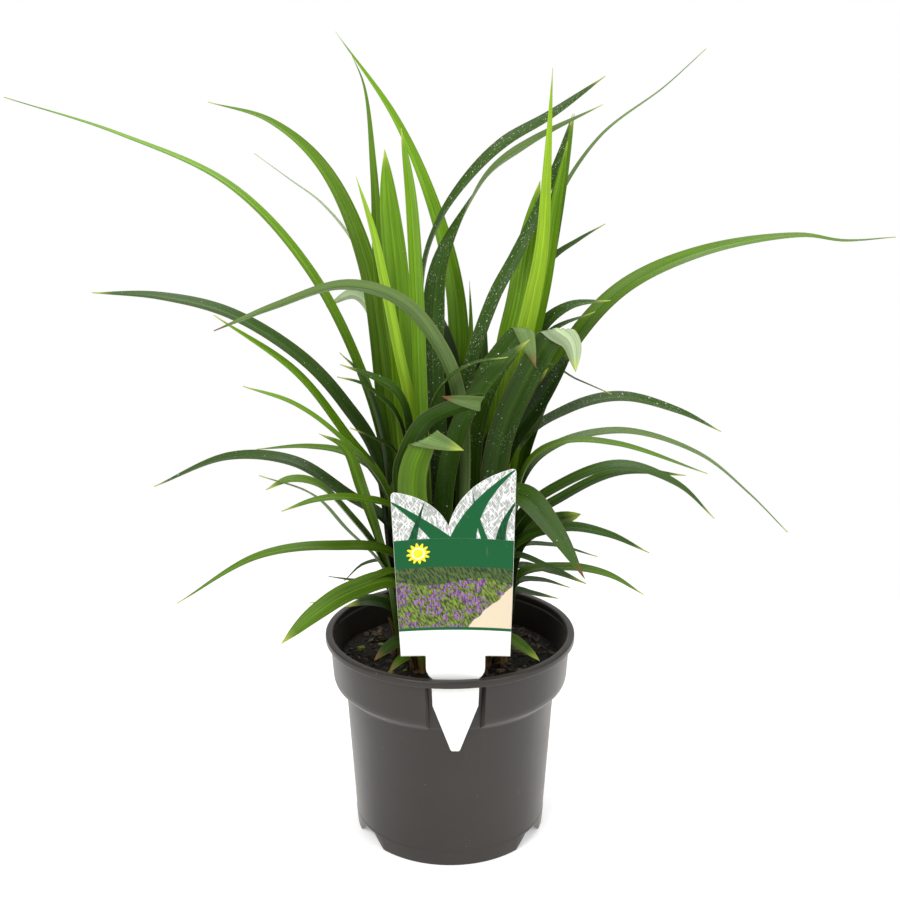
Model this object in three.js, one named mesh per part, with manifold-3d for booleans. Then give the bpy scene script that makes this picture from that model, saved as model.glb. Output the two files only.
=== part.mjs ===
// A flax lily in its nursery pot: pot, potting mix, plant label and thirteen leafy shoots.
// Millimetres, +Z up. The origin is the centre of the pot's underside, and -Y is the front.
import * as THREE from 'three';
import { mergeVertices } from 'three/addons/utils/BufferGeometryUtils.js';
import { TessellateModifier } from 'three/addons/modifiers/TessellateModifier.js';
import Module from 'manifold-3d';

const wasm = await Module();
wasm.setup();

// Driving dimensions of the pot
const RIM_RADIUS = 80;
const POT_HEIGHT = 134;
const BASE_RADIUS = 61.6;
const WALL = 1.8;
const BODY_TOP_RADIUS = 67.4;
const BODY_TOP_HEIGHT = 96.5;
const COLLAR_LOW_RADIUS = 75.2;
const COLLAR_TOP_RADIUS = 77;
const COLLAR_BOTTOM = 103;
const LIP_DEPTH = 4.4;
const LIP_WIDTH = 3.2;
const FLOOR_DISC_RADIUS = 40;
const CHANNEL_RADIUS = 44;
const CHANNEL_HEIGHT = 8.5;
const NOTCH_ANGLES = [90, 213, 327];
const NOTCH_HALF_WIDTH = 14.5;
const NOTCH_TOP_HALF_WIDTH = 5.5;
const NOTCH_HEIGHT = 7.5;
const NOTCH_INNER_RADIUS = 48;
const DRAIN_HOLE_RADIUS = 3.2;
const DRAIN_HOLE_RING = 52;
const DRAIN_HOLE_SPACING = 32;
const CORNER_ROUNDING = 1;
const ROUND_SEGMENTS = 36;

// The slot for the label, behind the lip at the front
const SLOT_CENTRE = 3.2;
const SLOT_HALF_WIDTH = 17.2;
const PANEL_LOW_RADIUS = 68.3;
const PANEL_TOP_RADIUS = 73.2;
const PANEL_BOTTOM = 98;
const PANEL_TOP = 131;
const PANEL_BACK = 60;
// How far a cutter goes past what it cuts
const PAST = 1;

// Driving dimensions of the potting mix
const MIX_LEVEL = 112;
const MIX_GAP = 0.4;
const MIX_UNEVENNESS = 0.7;
const BARK_CHIPS = 210;
const CHIP_SEED = 20;
const CHIP_SPREAD = 70;
const CHIP_HALF_LENGTH = [3.5, 8.5];
const CHIP_HALF_WIDTH = [2, 4.4];
const CHIP_HEIGHT = [0.8, 3.2];
const CHIP_TILT = 0.25;
const MIX_RINGS = 10;

// Driving dimensions of the label
const LABEL_THICKNESS = 0.7;
const LABEL_LEAN = 8.5;
const LABEL_FRONT = 74.6;
const LABEL_BOW = 5;
const LABEL_BOW_HEIGHT = 60;
const LABEL_HALF_WIDTH = 34;
const LABEL_EDGE_LENGTH = 22;

// Driving dimensions of the shoots
const SHEATH_BOTTOM = 98;
const SHEATH_TOP = 130;
const SHEATH_RADIUS = 5.6;
const SHEATH_TAPER = 0.75;
const SHEATH_FLATNESS = 0.8;
const SHEATH_SIDES = 12;
const HOLE_RADIUS = 6.5;
const HOLE_SIDES = 8;
const BLADE_START = 117;
const BLADE_ROOT_REACH = 3.6;
const BLADE_THICKNESS = 0.8;
const BLADE_TIP_SHARE = 0.07;
const KEELED_FROM_WIDTH = 13;
const STATION_SPACING = 55;

const LEAF_COLOURS = { fresh: 0x86b23a, mid: 0x4f8a2b, dark: 0x35631f };

const radians = THREE.MathUtils.degToRad;
const smoothstep = THREE.MathUtils.smoothstep;

function seededRandom(seed) {
  let state = seed;
  return () => {
    state = (state * 1664525 + 1013904223) % 4294967296;
    return state / 4294967296;
  };
}

// Solids and booleans

function solidFromTriangles(positions, triangles) {
  const mesh = new wasm.Mesh({
    numProp: 3,
    vertProperties: new Float32Array(positions),
    triVerts: new Uint32Array(triangles),
  });
  return new wasm.Manifold(mesh);
}

function solidFromGeometry(geometry) {
  const bare = geometry.index ? geometry : mergeVertices(geometry);
  bare.deleteAttribute('normal');
  bare.deleteAttribute('uv');
  const merged = mergeVertices(bare, 1e-4);
  const corners = merged.index.array;
  const triangles = [];
  for (let i = 0; i < corners.length; i += 3) {
    const [a, b, c] = corners.slice(i, i + 3);
    if (a !== b && b !== c && c !== a) triangles.push(a, b, c);
  }
  return solidFromTriangles(merged.attributes.position.array, triangles);
}

function geometryFromSolid(solid) {
  const { vertProperties, triVerts } = solid.getMesh();
  const geometry = new THREE.BufferGeometry();
  geometry.setAttribute('position', new THREE.BufferAttribute(vertProperties, 3));
  geometry.setIndex(new THREE.BufferAttribute(triVerts, 1));
  geometry.computeVertexNormals();
  return geometry;
}

function namedMesh(name, solid, material) {
  const mesh = new THREE.Mesh(geometryFromSolid(solid), material);
  mesh.name = name;
  return mesh;
}

// A solid of revolution round Z. The profile runs up its outside and down its inside.
function turned(profile) {
  const points = profile.map(([radius, height]) => new THREE.Vector2(radius, height));
  return solidFromGeometry(new THREE.LatheGeometry(points, ROUND_SEGMENTS).rotateX(Math.PI / 2));
}

function box(xMin, xMax, yMin, yMax, zMin, zMax) {
  const geometry = new THREE.BoxGeometry(xMax - xMin, yMax - yMin, zMax - zMin);
  geometry.translate((xMin + xMax) / 2, (yMin + yMax) / 2, (zMin + zMax) / 2);
  return solidFromGeometry(geometry);
}

function upright(radius, x, y, zMin, zMax, sides) {
  const geometry = new THREE.CylinderGeometry(radius, radius, zMax - zMin, sides);
  geometry.rotateX(Math.PI / 2);
  geometry.translate(x, y, (zMin + zMax) / 2);
  return solidFromGeometry(geometry);
}

// Pot

const LIP_BOTTOM = POT_HEIGHT - LIP_DEPTH;
const LIP_INNER_RADIUS = RIM_RADIUS - LIP_WIDTH;

function bodyRadius(height) {
  return BASE_RADIUS + (BODY_TOP_RADIUS - BASE_RADIUS) * (height / BODY_TOP_HEIGHT);
}

function potBody() {
  const channelTop = CHANNEL_HEIGHT + WALL;
  const skirt = BASE_RADIUS - WALL;
  return turned([
    [0, 0],
    [FLOOR_DISC_RADIUS, 0],
    [CHANNEL_RADIUS, CHANNEL_HEIGHT],
    [skirt + 0.4, CHANNEL_HEIGHT],
    [skirt, 0],
    [BASE_RADIUS, 0],
    [BODY_TOP_RADIUS, BODY_TOP_HEIGHT],
    [BODY_TOP_RADIUS + 0.8, BODY_TOP_HEIGHT + 1.7],
    [COLLAR_LOW_RADIUS - 1.4, COLLAR_BOTTOM - 1.6],
    [COLLAR_LOW_RADIUS - 0.3, COLLAR_BOTTOM - 0.5],
    [COLLAR_LOW_RADIUS, COLLAR_BOTTOM + 1.2],
    [COLLAR_TOP_RADIUS, LIP_BOTTOM],
    [RIM_RADIUS - CORNER_ROUNDING * 0.6, LIP_BOTTOM],
    [RIM_RADIUS, LIP_BOTTOM + CORNER_ROUNDING * 0.7],
    [RIM_RADIUS, POT_HEIGHT - CORNER_ROUNDING],
    [RIM_RADIUS - CORNER_ROUNDING, POT_HEIGHT],
    [LIP_INNER_RADIUS + CORNER_ROUNDING, POT_HEIGHT],
    [LIP_INNER_RADIUS, POT_HEIGHT - CORNER_ROUNDING],
    [LIP_INNER_RADIUS - 0.2, LIP_BOTTOM + 0.8],
    [COLLAR_TOP_RADIUS - WALL, LIP_BOTTOM - 1.2],
    [COLLAR_LOW_RADIUS - WALL, COLLAR_BOTTOM + 2],
    [COLLAR_LOW_RADIUS - WALL - 0.7, COLLAR_BOTTOM + 0.2],
    [BODY_TOP_RADIUS - 0.6, BODY_TOP_HEIGHT + 3.1],
    [BODY_TOP_RADIUS - WALL, BODY_TOP_HEIGHT + 1.4],
    [bodyRadius(channelTop) - WALL, channelTop],
    [CHANNEL_RADIUS + 1, channelTop],
    [FLOOR_DISC_RADIUS + 0.8, WALL],
    [0, WALL],
  ]);
}

// The collar is cut away below the lip, and a leaning panel closes the pot behind the slot
function withLabelSlot(pot) {
  const left = SLOT_CENTRE - SLOT_HALF_WIDTH;
  const right = SLOT_CENTRE + SLOT_HALF_WIDTH;
  const front = -RIM_RADIUS - PAST;
  const cutterBack = PAST - PANEL_LOW_RADIUS;
  const cutter = box(left, right, front, cutterBack, PANEL_BOTTOM + 0.2, LIP_BOTTOM);
  const panel = turned([
    [PANEL_LOW_RADIUS - WALL, PANEL_BOTTOM],
    [PANEL_LOW_RADIUS, PANEL_BOTTOM],
    [PANEL_TOP_RADIUS, PANEL_TOP],
    [PANEL_TOP_RADIUS - WALL, PANEL_TOP],
    [PANEL_LOW_RADIUS - WALL, PANEL_BOTTOM],
  ]);
  const cheeks = turned([
    [PANEL_LOW_RADIUS - 1, PANEL_BOTTOM + 1],
    [COLLAR_LOW_RADIUS - 0.3, COLLAR_BOTTOM - 0.5],
    [COLLAR_LOW_RADIUS, COLLAR_BOTTOM + 1.2],
    [COLLAR_TOP_RADIUS, LIP_BOTTOM],
    [COLLAR_TOP_RADIUS + 1, LIP_BOTTOM + 1.5],
    [PANEL_TOP_RADIUS - 1, PANEL_TOP],
    [PANEL_LOW_RADIUS - 1, PANEL_BOTTOM + 1],
  ]);
  const back = -PANEL_BACK;
  const slot = box(left, right, front, back, PANEL_BOTTOM - PAST, PANEL_TOP + PAST);
  const surround = box(left - WALL, right + WALL, front, back, PANEL_BOTTOM - PAST, PANEL_TOP + PAST);
  return pot
    .subtract(cutter)
    .add(panel.intersect(surround))
    .add(cheeks.intersect(surround).subtract(slot));
}

// Three notches with sloping sides open the skirt at the ground, and drain holes open above it
function withDrainage(pot) {
  const notchShape = new THREE.Shape([
    new THREE.Vector2(-NOTCH_HALF_WIDTH, -PAST),
    new THREE.Vector2(NOTCH_HALF_WIDTH, -PAST),
    new THREE.Vector2(NOTCH_HALF_WIDTH, 0),
    new THREE.Vector2(NOTCH_TOP_HALF_WIDTH, NOTCH_HEIGHT),
    new THREE.Vector2(-NOTCH_TOP_HALF_WIDTH, NOTCH_HEIGHT),
    new THREE.Vector2(-NOTCH_HALF_WIDTH, 0),
  ]);
  const depth = BASE_RADIUS + PAST - NOTCH_INNER_RADIUS;
  const extrusion = new THREE.ExtrudeGeometry(notchShape, { depth, bevelEnabled: false });
  const frontNotch = solidFromGeometry(
    extrusion.translate(0, 0, NOTCH_INNER_RADIUS).rotateX(Math.PI / 2),
  );
  let drained = pot;
  for (const angle of NOTCH_ANGLES) {
    drained = drained.subtract(frontNotch.rotate([0, 0, angle + 90]));
  }
  const holeBottom = CHANNEL_HEIGHT - PAST;
  const holeTop = CHANNEL_HEIGHT + WALL + PAST;
  for (const side of [0, 180]) {
    for (const angle of [-DRAIN_HOLE_SPACING, 0, DRAIN_HOLE_SPACING]) {
      const x = DRAIN_HOLE_RING * Math.cos(radians(side + angle));
      const y = DRAIN_HOLE_RING * Math.sin(radians(side + angle));
      drained = drained.subtract(upright(DRAIN_HOLE_RADIUS, x, y, holeBottom, holeTop, HOLE_SIDES));
    }
  }
  return drained;
}

// Potting mix

const random = seededRandom(CHIP_SEED);
const between = ([low, high]) => low + (high - low) * random();
const chips = Array.from({ length: BARK_CHIPS }, () => {
  const distance = CHIP_SPREAD * Math.sqrt(random());
  const bearing = between([0, 2 * Math.PI]);
  return {
    x: distance * Math.cos(bearing),
    y: distance * Math.sin(bearing),
    turn: between([0, Math.PI]),
    length: between(CHIP_HALF_LENGTH),
    width: between(CHIP_HALF_WIDTH),
    height: between(CHIP_HEIGHT),
    tilt: between([-CHIP_TILT, CHIP_TILT]),
  };
});

// Each bark chip is a flat-topped bump, and the surface is the highest of them at each point
function mixHeight(x, y) {
  let height = MIX_LEVEL + MIX_UNEVENNESS * Math.sin(x / 9) * Math.cos(y / 11);
  for (const chip of chips) {
    const along = (x - chip.x) * Math.cos(chip.turn) + (y - chip.y) * Math.sin(chip.turn);
    const across = (y - chip.y) * Math.cos(chip.turn) - (x - chip.x) * Math.sin(chip.turn);
    const edge = (along / chip.length) ** 4 + (across / chip.width) ** 4;
    const chipTop = MIX_LEVEL + chip.height * (1 - edge) + chip.tilt * along;
    if (edge < 1) height = Math.max(height, chipTop);
  }
  return height;
}

function pottingMix() {
  const channelTop = CHANNEL_HEIGHT + WALL + MIX_GAP;
  const bodyInner = WALL + MIX_GAP;
  const outerRadius = COLLAR_LOW_RADIUS - WALL + 0.6 - MIX_GAP;
  const side = [
    [FLOOR_DISC_RADIUS + 0.4, WALL + MIX_GAP],
    [CHANNEL_RADIUS + 0.8, channelTop],
    [bodyRadius(channelTop) - bodyInner, channelTop],
    [BODY_TOP_RADIUS - bodyInner, BODY_TOP_HEIGHT + 1.6],
    [BODY_TOP_RADIUS - 1, BODY_TOP_HEIGHT + 3.5],
    [COLLAR_LOW_RADIUS - WALL - 1.1, COLLAR_BOTTOM + 0.6],
    [COLLAR_LOW_RADIUS - WALL - MIX_GAP, COLLAR_BOTTOM + 2.2],
  ];
  const rings = side.map(([radius, height]) => ({ radius, height: () => height }));
  for (let ring = MIX_RINGS; ring > 0; ring -= 1) {
    rings.push({ radius: (outerRadius * ring) / MIX_RINGS, height: mixHeight });
  }
  const positions = [0, 0, WALL + MIX_GAP];
  for (const { radius, height } of rings) {
    for (let step = 0; step < ROUND_SEGMENTS; step += 1) {
      const bearing = (step / ROUND_SEGMENTS) * 2 * Math.PI;
      const x = radius * Math.cos(bearing);
      const y = radius * Math.sin(bearing);
      positions.push(x, y, height(x, y));
    }
  }
  positions.push(0, 0, mixHeight(0, 0));
  const top = positions.length / 3 - 1;
  const corner = (ring, step) => 1 + ring * ROUND_SEGMENTS + (step % ROUND_SEGMENTS);
  const triangles = [];
  for (let step = 0; step < ROUND_SEGMENTS; step += 1) {
    triangles.push(0, corner(0, step + 1), corner(0, step));
    for (let ring = 0; ring < rings.length - 1; ring += 1) {
      const [a, b] = [corner(ring, step), corner(ring, step + 1)];
      const [c, d] = [corner(ring + 1, step), corner(ring + 1, step + 1)];
      triangles.push(a, b, d, a, d, c);
    }
    triangles.push(corner(rings.length - 1, step), corner(rings.length - 1, step + 1), top);
  }
  return solidFromTriangles(positions, triangles);
}

// The room that the slot's panel and cheeks take from the potting mix
function slotClearance() {
  const grown = WALL + MIX_GAP;
  const ring = turned([
    [PANEL_LOW_RADIUS - grown, PANEL_BOTTOM - PAST],
    [RIM_RADIUS, PANEL_BOTTOM - PAST],
    [RIM_RADIUS, PANEL_TOP],
    [PANEL_TOP_RADIUS - grown, PANEL_TOP],
    [PANEL_LOW_RADIUS - grown, PANEL_BOTTOM - PAST],
  ]);
  const reach = SLOT_HALF_WIDTH + grown;
  const left = SLOT_CENTRE - reach;
  const right = SLOT_CENTRE + reach;
  return ring.intersect(box(left, right, -RIM_RADIUS, -PANEL_BACK, PANEL_BOTTOM - PAST, PANEL_TOP));
}

// Label

// The outline, seen from the front: a V-notched top, square shoulders, a round tab and a pointed tail
function labelOutline() {
  const shape = new THREE.Shape();
  shape.moveTo(-2, -52);
  shape.lineTo(2, -52);
  shape.lineTo(13.6, -19);
  shape.lineTo(14, -6.5);
  shape.lineTo(12, -5);
  shape.lineTo(12, -1.5);
  shape.quadraticCurveTo(17.2, 1, 17.3, 8);
  shape.lineTo(17.3, 16);
  shape.lineTo(31.8, 16);
  shape.lineTo(32.6, 135);
  shape.quadraticCurveTo(32.4, 137, 30.6, 136.4);
  shape.quadraticCurveTo(2, 126, -4, 100.5);
  shape.quadraticCurveTo(-11, 117, -34, 122.6);
  shape.quadraticCurveTo(-35.6, 122.6, -35.5, 121);
  shape.lineTo(-31.8, 16);
  shape.lineTo(-17.3, 16);
  shape.lineTo(-17.3, 8);
  shape.quadraticCurveTo(-17.2, 1, -12, -1.5);
  shape.lineTo(-12, -5);
  shape.lineTo(-14, -6.5);
  shape.lineTo(-13.6, -19);
  return shape;
}

// A point on the label: across it, up it from the lip, and out from its middle plane
function placeOnLabel(across, up, out) {
  const bow = LABEL_BOW * (across / LABEL_HALF_WIDTH) ** 2 * smoothstep(up, 0, LABEL_BOW_HEIGHT);
  const lean = radians(LABEL_LEAN);
  return [
    SLOT_CENTRE + across,
    -LABEL_FRONT - bow - up * Math.sin(lean) - out * Math.cos(lean),
    POT_HEIGHT + up * Math.cos(lean) - out * Math.sin(lean),
  ];
}

function labelPlate() {
  const flat = new THREE.ShapeGeometry(labelOutline(), 5).toNonIndexed();
  const fine = new TessellateModifier(LABEL_EDGE_LENGTH, 8).modify(flat);
  fine.deleteAttribute('normal');
  fine.deleteAttribute('uv');
  const sheet = mergeVertices(fine, 1e-3);
  const { position } = sheet.attributes;
  const corners = sheet.index.array;
  const positions = [];
  for (const out of [LABEL_THICKNESS / 2, -LABEL_THICKNESS / 2]) {
    for (let i = 0; i < position.count; i += 1) {
      positions.push(...placeOnLabel(position.getX(i), position.getY(i), out));
    }
  }
  const triangles = [];
  const openEdges = new Map();
  for (let i = 0; i < corners.length; i += 3) {
    const [a, b, c] = corners.slice(i, i + 3);
    triangles.push(a, b, c, a + position.count, c + position.count, b + position.count);
    for (const [from, to] of [[a, b], [b, c], [c, a]]) {
      if (!openEdges.delete(`${to} ${from}`)) openEdges.set(`${from} ${to}`, [from, to]);
    }
  }
  for (const [from, to] of openEdges.values()) {
    const [farFrom, farTo] = [from + position.count, to + position.count];
    triangles.push(from, farFrom, farTo, from, farTo, to);
  }
  return solidFromTriangles(positions, triangles);
}

// Shoots

// A leaf: its width, how far its blade is rolled up on edge with its upper face to the front, at
// even steps from root to tip (degrees), how full its tip is (1 is drawn out, 5 is blunt), and the
// points that its midrib goes through on its way to the tip
function leaf(width, rolls, fullness, ...through) {
  return { width, rolls, fullness, through };
}

const shoots = [
  {
    name: 'shoot_left',
    root: [-30, 0],
    colour: LEAF_COLOURS.mid,
    leaves: [
      leaf(13, [65, 45, 25], 6, [-45, -2, 247], [-64, -10, 284], [-88, -18, 314], [-128, -27, 342],
        [-166, -34, 353], [-203, -40, 356]),
      leaf(10, [50, 40, 20], 4, [-39, -6, 225], [-62, -14, 264], [-91, -22, 306], [-135, -38, 343]),
      leaf(9, [50, 30, 15], 5, [-39, -12, 229], [-66, -26, 268], [-91, -38, 291], [-118, -50, 304]),
      leaf(9, [20, 0, -60], 3, [-39, -12, 175], [-53, -24, 233], [-62, -36, 264], [-76, -46, 275]),
      leaf(7, [40, 10], 5, [-39, 2, 229], [-63, 14, 246], [-90, 26, 248], [-126, 38, 243]),
      leaf(12, [25, 12, 16, 14], 4, [-36, -4, 202], [-66, 4, 223], [-98, 10, 242], [-140, 16, 244],
        [-190, 20, 223]),
      leaf(13, [35, 25, 15], 4, [-42, -7, 181], [-61, -17, 215], [-80, -30, 240], [-95, -38, 245],
        [-108, -46, 241]),
      leaf(8, [30, 5, -5], 3, [-41, -13, 179], [-64, -23, 210], [-82, -35, 235], [-111, -50, 251]),
      leaf(8, [70, 20], 4, [-41, 4, 258], [-54, 2, 299], [-67, 0, 314]),
    ],
  },
  {
    name: 'shoot_low_left',
    root: [-30, 15],
    colour: LEAF_COLOURS.mid,
    leaves: [
      leaf(4, [30, 10], 2, [-42, 14, 158], [-65, 18, 160], [-80, 24, 160]),
      leaf(5, [30, 10], 2, [-36, 12, 174], [-55, 8, 175], [-68, 6, 164]),
      leaf(9, [50, 15], 3, [-38, 10, 144], [-52, 8, 149], [-68, 6, 146]),
      leaf(4, [30, 10], 2, [-39, 16, 147], [-66, 20, 146], [-93, 22, 142]),
    ],
  },
  {
    name: 'shoot_front_left',
    root: [-19, -19],
    colour: LEAF_COLOURS.mid,
    leaves: [
      leaf(9, [35, 10], 4, [-29, -26, 219], [-55, -40, 234], [-77, -52, 237], [-97, -62, 233]),
      leaf(11, [30, 16, 12, 5], 1.8, [-33, -24, 191], [-72, -38, 203], [-114, -50, 201],
        [-160, -64, 177]),
      leaf(14, [50, 30, 25], 4, [-32, -32, 178], [-60, -46, 177], [-81, -58, 167], [-99, -70, 154]),
      leaf(8, [35, 12], 4, [-33, -28, 182], [-61, -34, 173], [-78, -40, 167], [-93, -48, 158]),
      leaf(6, [30, 10], 3, [-31, -27, 182], [-53, -38, 179], [-67, -43, 167]),
      leaf(8, [50, 25], 3, [-30, -34, 140], [-38, -42, 139], [-46, -50, 134]),
      leaf(6, [50, 25], 3, [-27, -38, 131], [-32, -46, 131], [-37, -52, 127]),
      leaf(14, [80, 60, 30], 3, [-24, -30, 267], [-27, -32, 288], [-32, -34, 298], [-43, -37, 306],
        [-63, -42, 315]),
      leaf(9, [70, 50, 20], 4, [-26, -29, 262], [-32, -32, 284], [-40, -35, 294], [-51, -38, 303],
        [-65, -43, 308]),
      leaf(8, [60, 20], 3, [-32, -27, 258], [-45, -36, 270], [-58, -44, 278]),
    ],
  },
  {
    name: 'shoot_back_left',
    root: [-16, 20],
    colour: LEAF_COLOURS.mid,
    leaves: [
      leaf(11, [30, 25, 12], 1.8, [-37, 16, 222], [-53, 22, 289], [-87, 32, 359], [-136, 42, 411],
        [-205, 50, 442], [-277, 58, 464]),
      leaf(16, [75, 60, 50], 1.6, [-38, 20, 260], [-52, 28, 366], [-78, 36, 423], [-110, 42, 450],
        [-149, 50, 461]),
      leaf(4, [70, 40], 1.2, [-46, 50, 318], [-59, 56, 370], [-81, 58, 399], [-101, 58, 414],
        [-123, 58, 430]),
      leaf(12, [-60, -70, -60], 3, [-37, 32, 270], [-47, 38, 321], [-52, 40, 337], [-60, 42, 343],
        [-72, 46, 336]),
      leaf(12, [50, 14], 3, [-26, 52, 205], [-34, 88, 240], [-42, 128, 246], [-48, 165, 228]),
      leaf(10, [50, 12], 3, [-17, 62, 165], [-23, 106, 178], [-30, 150, 166]),
    ],
  },
  {
    name: 'shoot_centre_left',
    root: [-11, 1],
    colour: LEAF_COLOURS.fresh,
    leaves: [
      leaf(9, [85, 80], 5, [-23, -10, 275], [-31, -12, 318], [-39, -12, 360], [-45, -12, 389],
        [-54, -13, 419]),
      leaf(10, [85, 70], 1.2, [-33, 2, 284], [-42, 4, 358], [-45, 6, 422], [-50, 9, 470],
        [-58, 11, 489]),
      leaf(15, [90, 85], 6, [-27, -2, 285], [-32, -2, 364], [-36, -1, 405], [-38, 0, 434]),
      leaf(10, [85, 80], 6, [-18, -10, 286], [-20, -10, 354], [-23, -9, 408], [-28, -8, 446]),
    ],
  },
  {
    name: 'shoot_front',
    root: [1, -26],
    colour: LEAF_COLOURS.dark,
    leaves: [
      leaf(14, [-60, -40, -30], 4, [5, -28, 291], [-9, -36, 329], [-29, -48, 353], [-58, -62, 363],
        [-94, -78, 354], [-125, -92, 343]),
      leaf(14, [10, 30, 60], 4, [-25, -44, 250], [-20, -46, 271], [-7, -47, 286], [15, -49, 292],
        [3, -52, 302], [-11, -54, 297]),
      leaf(17, [5, 10, 50], 4, [-22, -52, 243], [-20, -54, 260], [-13, -55, 272], [-2, -57, 276],
        [9, -60, 271]),
      leaf(9, [70, 15], 4, [-13, -34, 280], [-3, -38, 304], [14, -42, 316], [33, -46, 320]),
      leaf(14, [75, 60], 4, [-2, -33, 243], [12, -35, 290], [29, -37, 314], [46, -39, 329]),
    ],
  },
  {
    name: 'shoot_back',
    root: [3, 22],
    colour: LEAF_COLOURS.mid,
    leaves: [
      leaf(13, [85, 75], 1.1, [6, 22, 279], [3, 24, 349], [-11, 27, 403], [-33, 30, 452],
        [-68, 34, 501]),
      leaf(15, [88, 80], 5, [-2, 15, 255], [1, 16, 300], [-6, 17, 337]),
      leaf(6, [85, 80], 2, [11, 18, 280], [13, 19, 325], [12, 20, 355]),
      leaf(12, [85, 80], 3, [16, 14, 236], [19, 15, 268], [22, 16, 334]),
      leaf(12, [60, 15], 3, [2, 60, 230], [0, 100, 282], [-2, 150, 296], [-4, 198, 276]),
      leaf(12, [60, 15], 3, [12, 55, 215], [18, 95, 252], [22, 140, 258], [25, 180, 240]),
    ],
  },
  {
    name: 'shoot_centre_right',
    root: [8, 0],
    colour: LEAF_COLOURS.dark,
    leaves: [
      leaf(12, [30, 15, 20, 60, 55], 5, [-14, 5, 284], [-16, 6, 363], [-6, 7, 393], [12, 7, 419],
        [32, 7, 438], [58, 7, 453], [90, 8, 475]),
      leaf(14, [85, 85, 85, 85, 80, 20, -45, -45], 2.2, [-9, -2, 272], [-10, -3, 334], [-6, -3, 367],
        [7, -2, 396], [23, -2, 421], [46, -1, 438], [88, 0, 459]),
      leaf(11, [85, 75], 4, [10, 0, 266], [16, 0, 316], [20, 0, 338]),
      leaf(12, [85, 75], 4, [8, -6, 285], [25, -6, 346], [39, -4, 373], [53, -2, 402], [65, 0, 434],
        [71, 1, 454]),
      leaf(12, [85, 80], 3, [-2, -10, 230], [1, -12, 265], [4, -13, 286]),
    ],
  },
  {
    name: 'shoot_back_right',
    root: [17, 20],
    colour: LEAF_COLOURS.dark,
    leaves: [
      leaf(4, [80, 30], 1.5, [42, 22, 324], [61, 26, 394], [90, 32, 440], [130, 40, 470],
        [155, 46, 492]),
      leaf(8, [70, 30], 4, [43, 19, 325], [60, 21, 366], [79, 23, 380], [95, 26, 389]),
      leaf(13, [50, 45, 35, 15], 1.8, [51, 23, 260], [73, 28, 309], [107, 32, 348], [155, 33, 371],
        [218, 38, 381], [246, 40, 375], [279, 42, 380]),
      leaf(13, [8, 8, 20, 40, 35], 4, [45, 22, 250], [75, 27, 272], [108, 29, 280], [147, 31, 270],
        [175, 33, 256]),
      leaf(12, [50, 14], 3, [28, 52, 200], [38, 86, 230], [45, 122, 234], [50, 155, 218]),
      leaf(10, [50, 12], 3, [22, 60, 160], [26, 104, 170], [29, 145, 158]),
    ],
  },
  {
    name: 'shoot_right',
    root: [21, 4],
    colour: LEAF_COLOURS.fresh,
    leaves: [
      leaf(14, [88, 80], 6, [29, 2, 271], [35, 2, 318], [41, 3, 346], [45, 3, 373], [53, 3, 416]),
      leaf(12, [88, 85], 1.6, [34, -6, 270], [49, -7, 347], [54, -8, 377], [56, -9, 420],
        [58, -10, 479]),
      leaf(12, [88, 80], 4, [40, 9, 282], [54, 10, 349], [62, 11, 393], [68, 12, 427], [73, 12, 454]),
      leaf(9, [88, 80], 5, [43, 4, 284], [57, 5, 357], [63, 6, 402], [69, 6, 439]),
      leaf(14, [75, 60, 35], 3, [40, 9, 295], [55, 10, 327], [73, 11, 341], [98, 12, 344]),
      leaf(10, [70, 20], 3, [39, 10, 282], [61, 12, 324], [89, 13, 337]),
      leaf(14, [80, 70], 4, [31, 0, 246], [54, 0, 283], [76, 0, 319]),
      leaf(5, [50, 10], 3, [55, 8, 305], [79, 11, 295], [101, 14, 285]),
    ],
  },
  {
    name: 'shoot_outer_right',
    root: [32, -6],
    colour: LEAF_COLOURS.mid,
    leaves: [
      leaf(10, [25, 10, 10, 8], 2.5, [46, -2, 235], [65, 4, 254], [108, 11, 262], [158, 15, 246],
        [192, 18, 219], [219, 20, 192]),
      leaf(9, [30, 10, 12], 3, [47, -11, 246], [67, -13, 261], [101, -12, 260], [158, -12, 241]),
      leaf(10, [30, 14], 4, [44, -6, 202], [72, -8, 226], [104, -12, 242], [144, -16, 241]),
      leaf(12, [50, 35], 9, [43, -1, 192], [60, 3, 203], [83, 6, 209]),
    ],
  },
  {
    name: 'shoot_low_right',
    root: [32, 16],
    colour: LEAF_COLOURS.mid,
    leaves: [
      leaf(5, [30, 10], 3, [43, 14, 183], [65, 16, 185], [96, 18, 176]),
      leaf(9, [25, 10], 3.5, [44, 12, 165], [74, 12, 171], [102, 12, 166], [126, 12, 152]),
      leaf(6, [30, 10], 3, [43, 18, 169], [66, 22, 164], [90, 26, 154]),
      leaf(6, [30, 10], 3, [43, 20, 157], [59, 26, 157], [80, 32, 149]),
      leaf(7, [30, 10], 3, [42, 20, 151], [56, 26, 147], [72, 30, 142]),
    ],
  },
  {
    name: 'shoot_front_right',
    root: [19, -19],
    colour: LEAF_COLOURS.dark,
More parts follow.
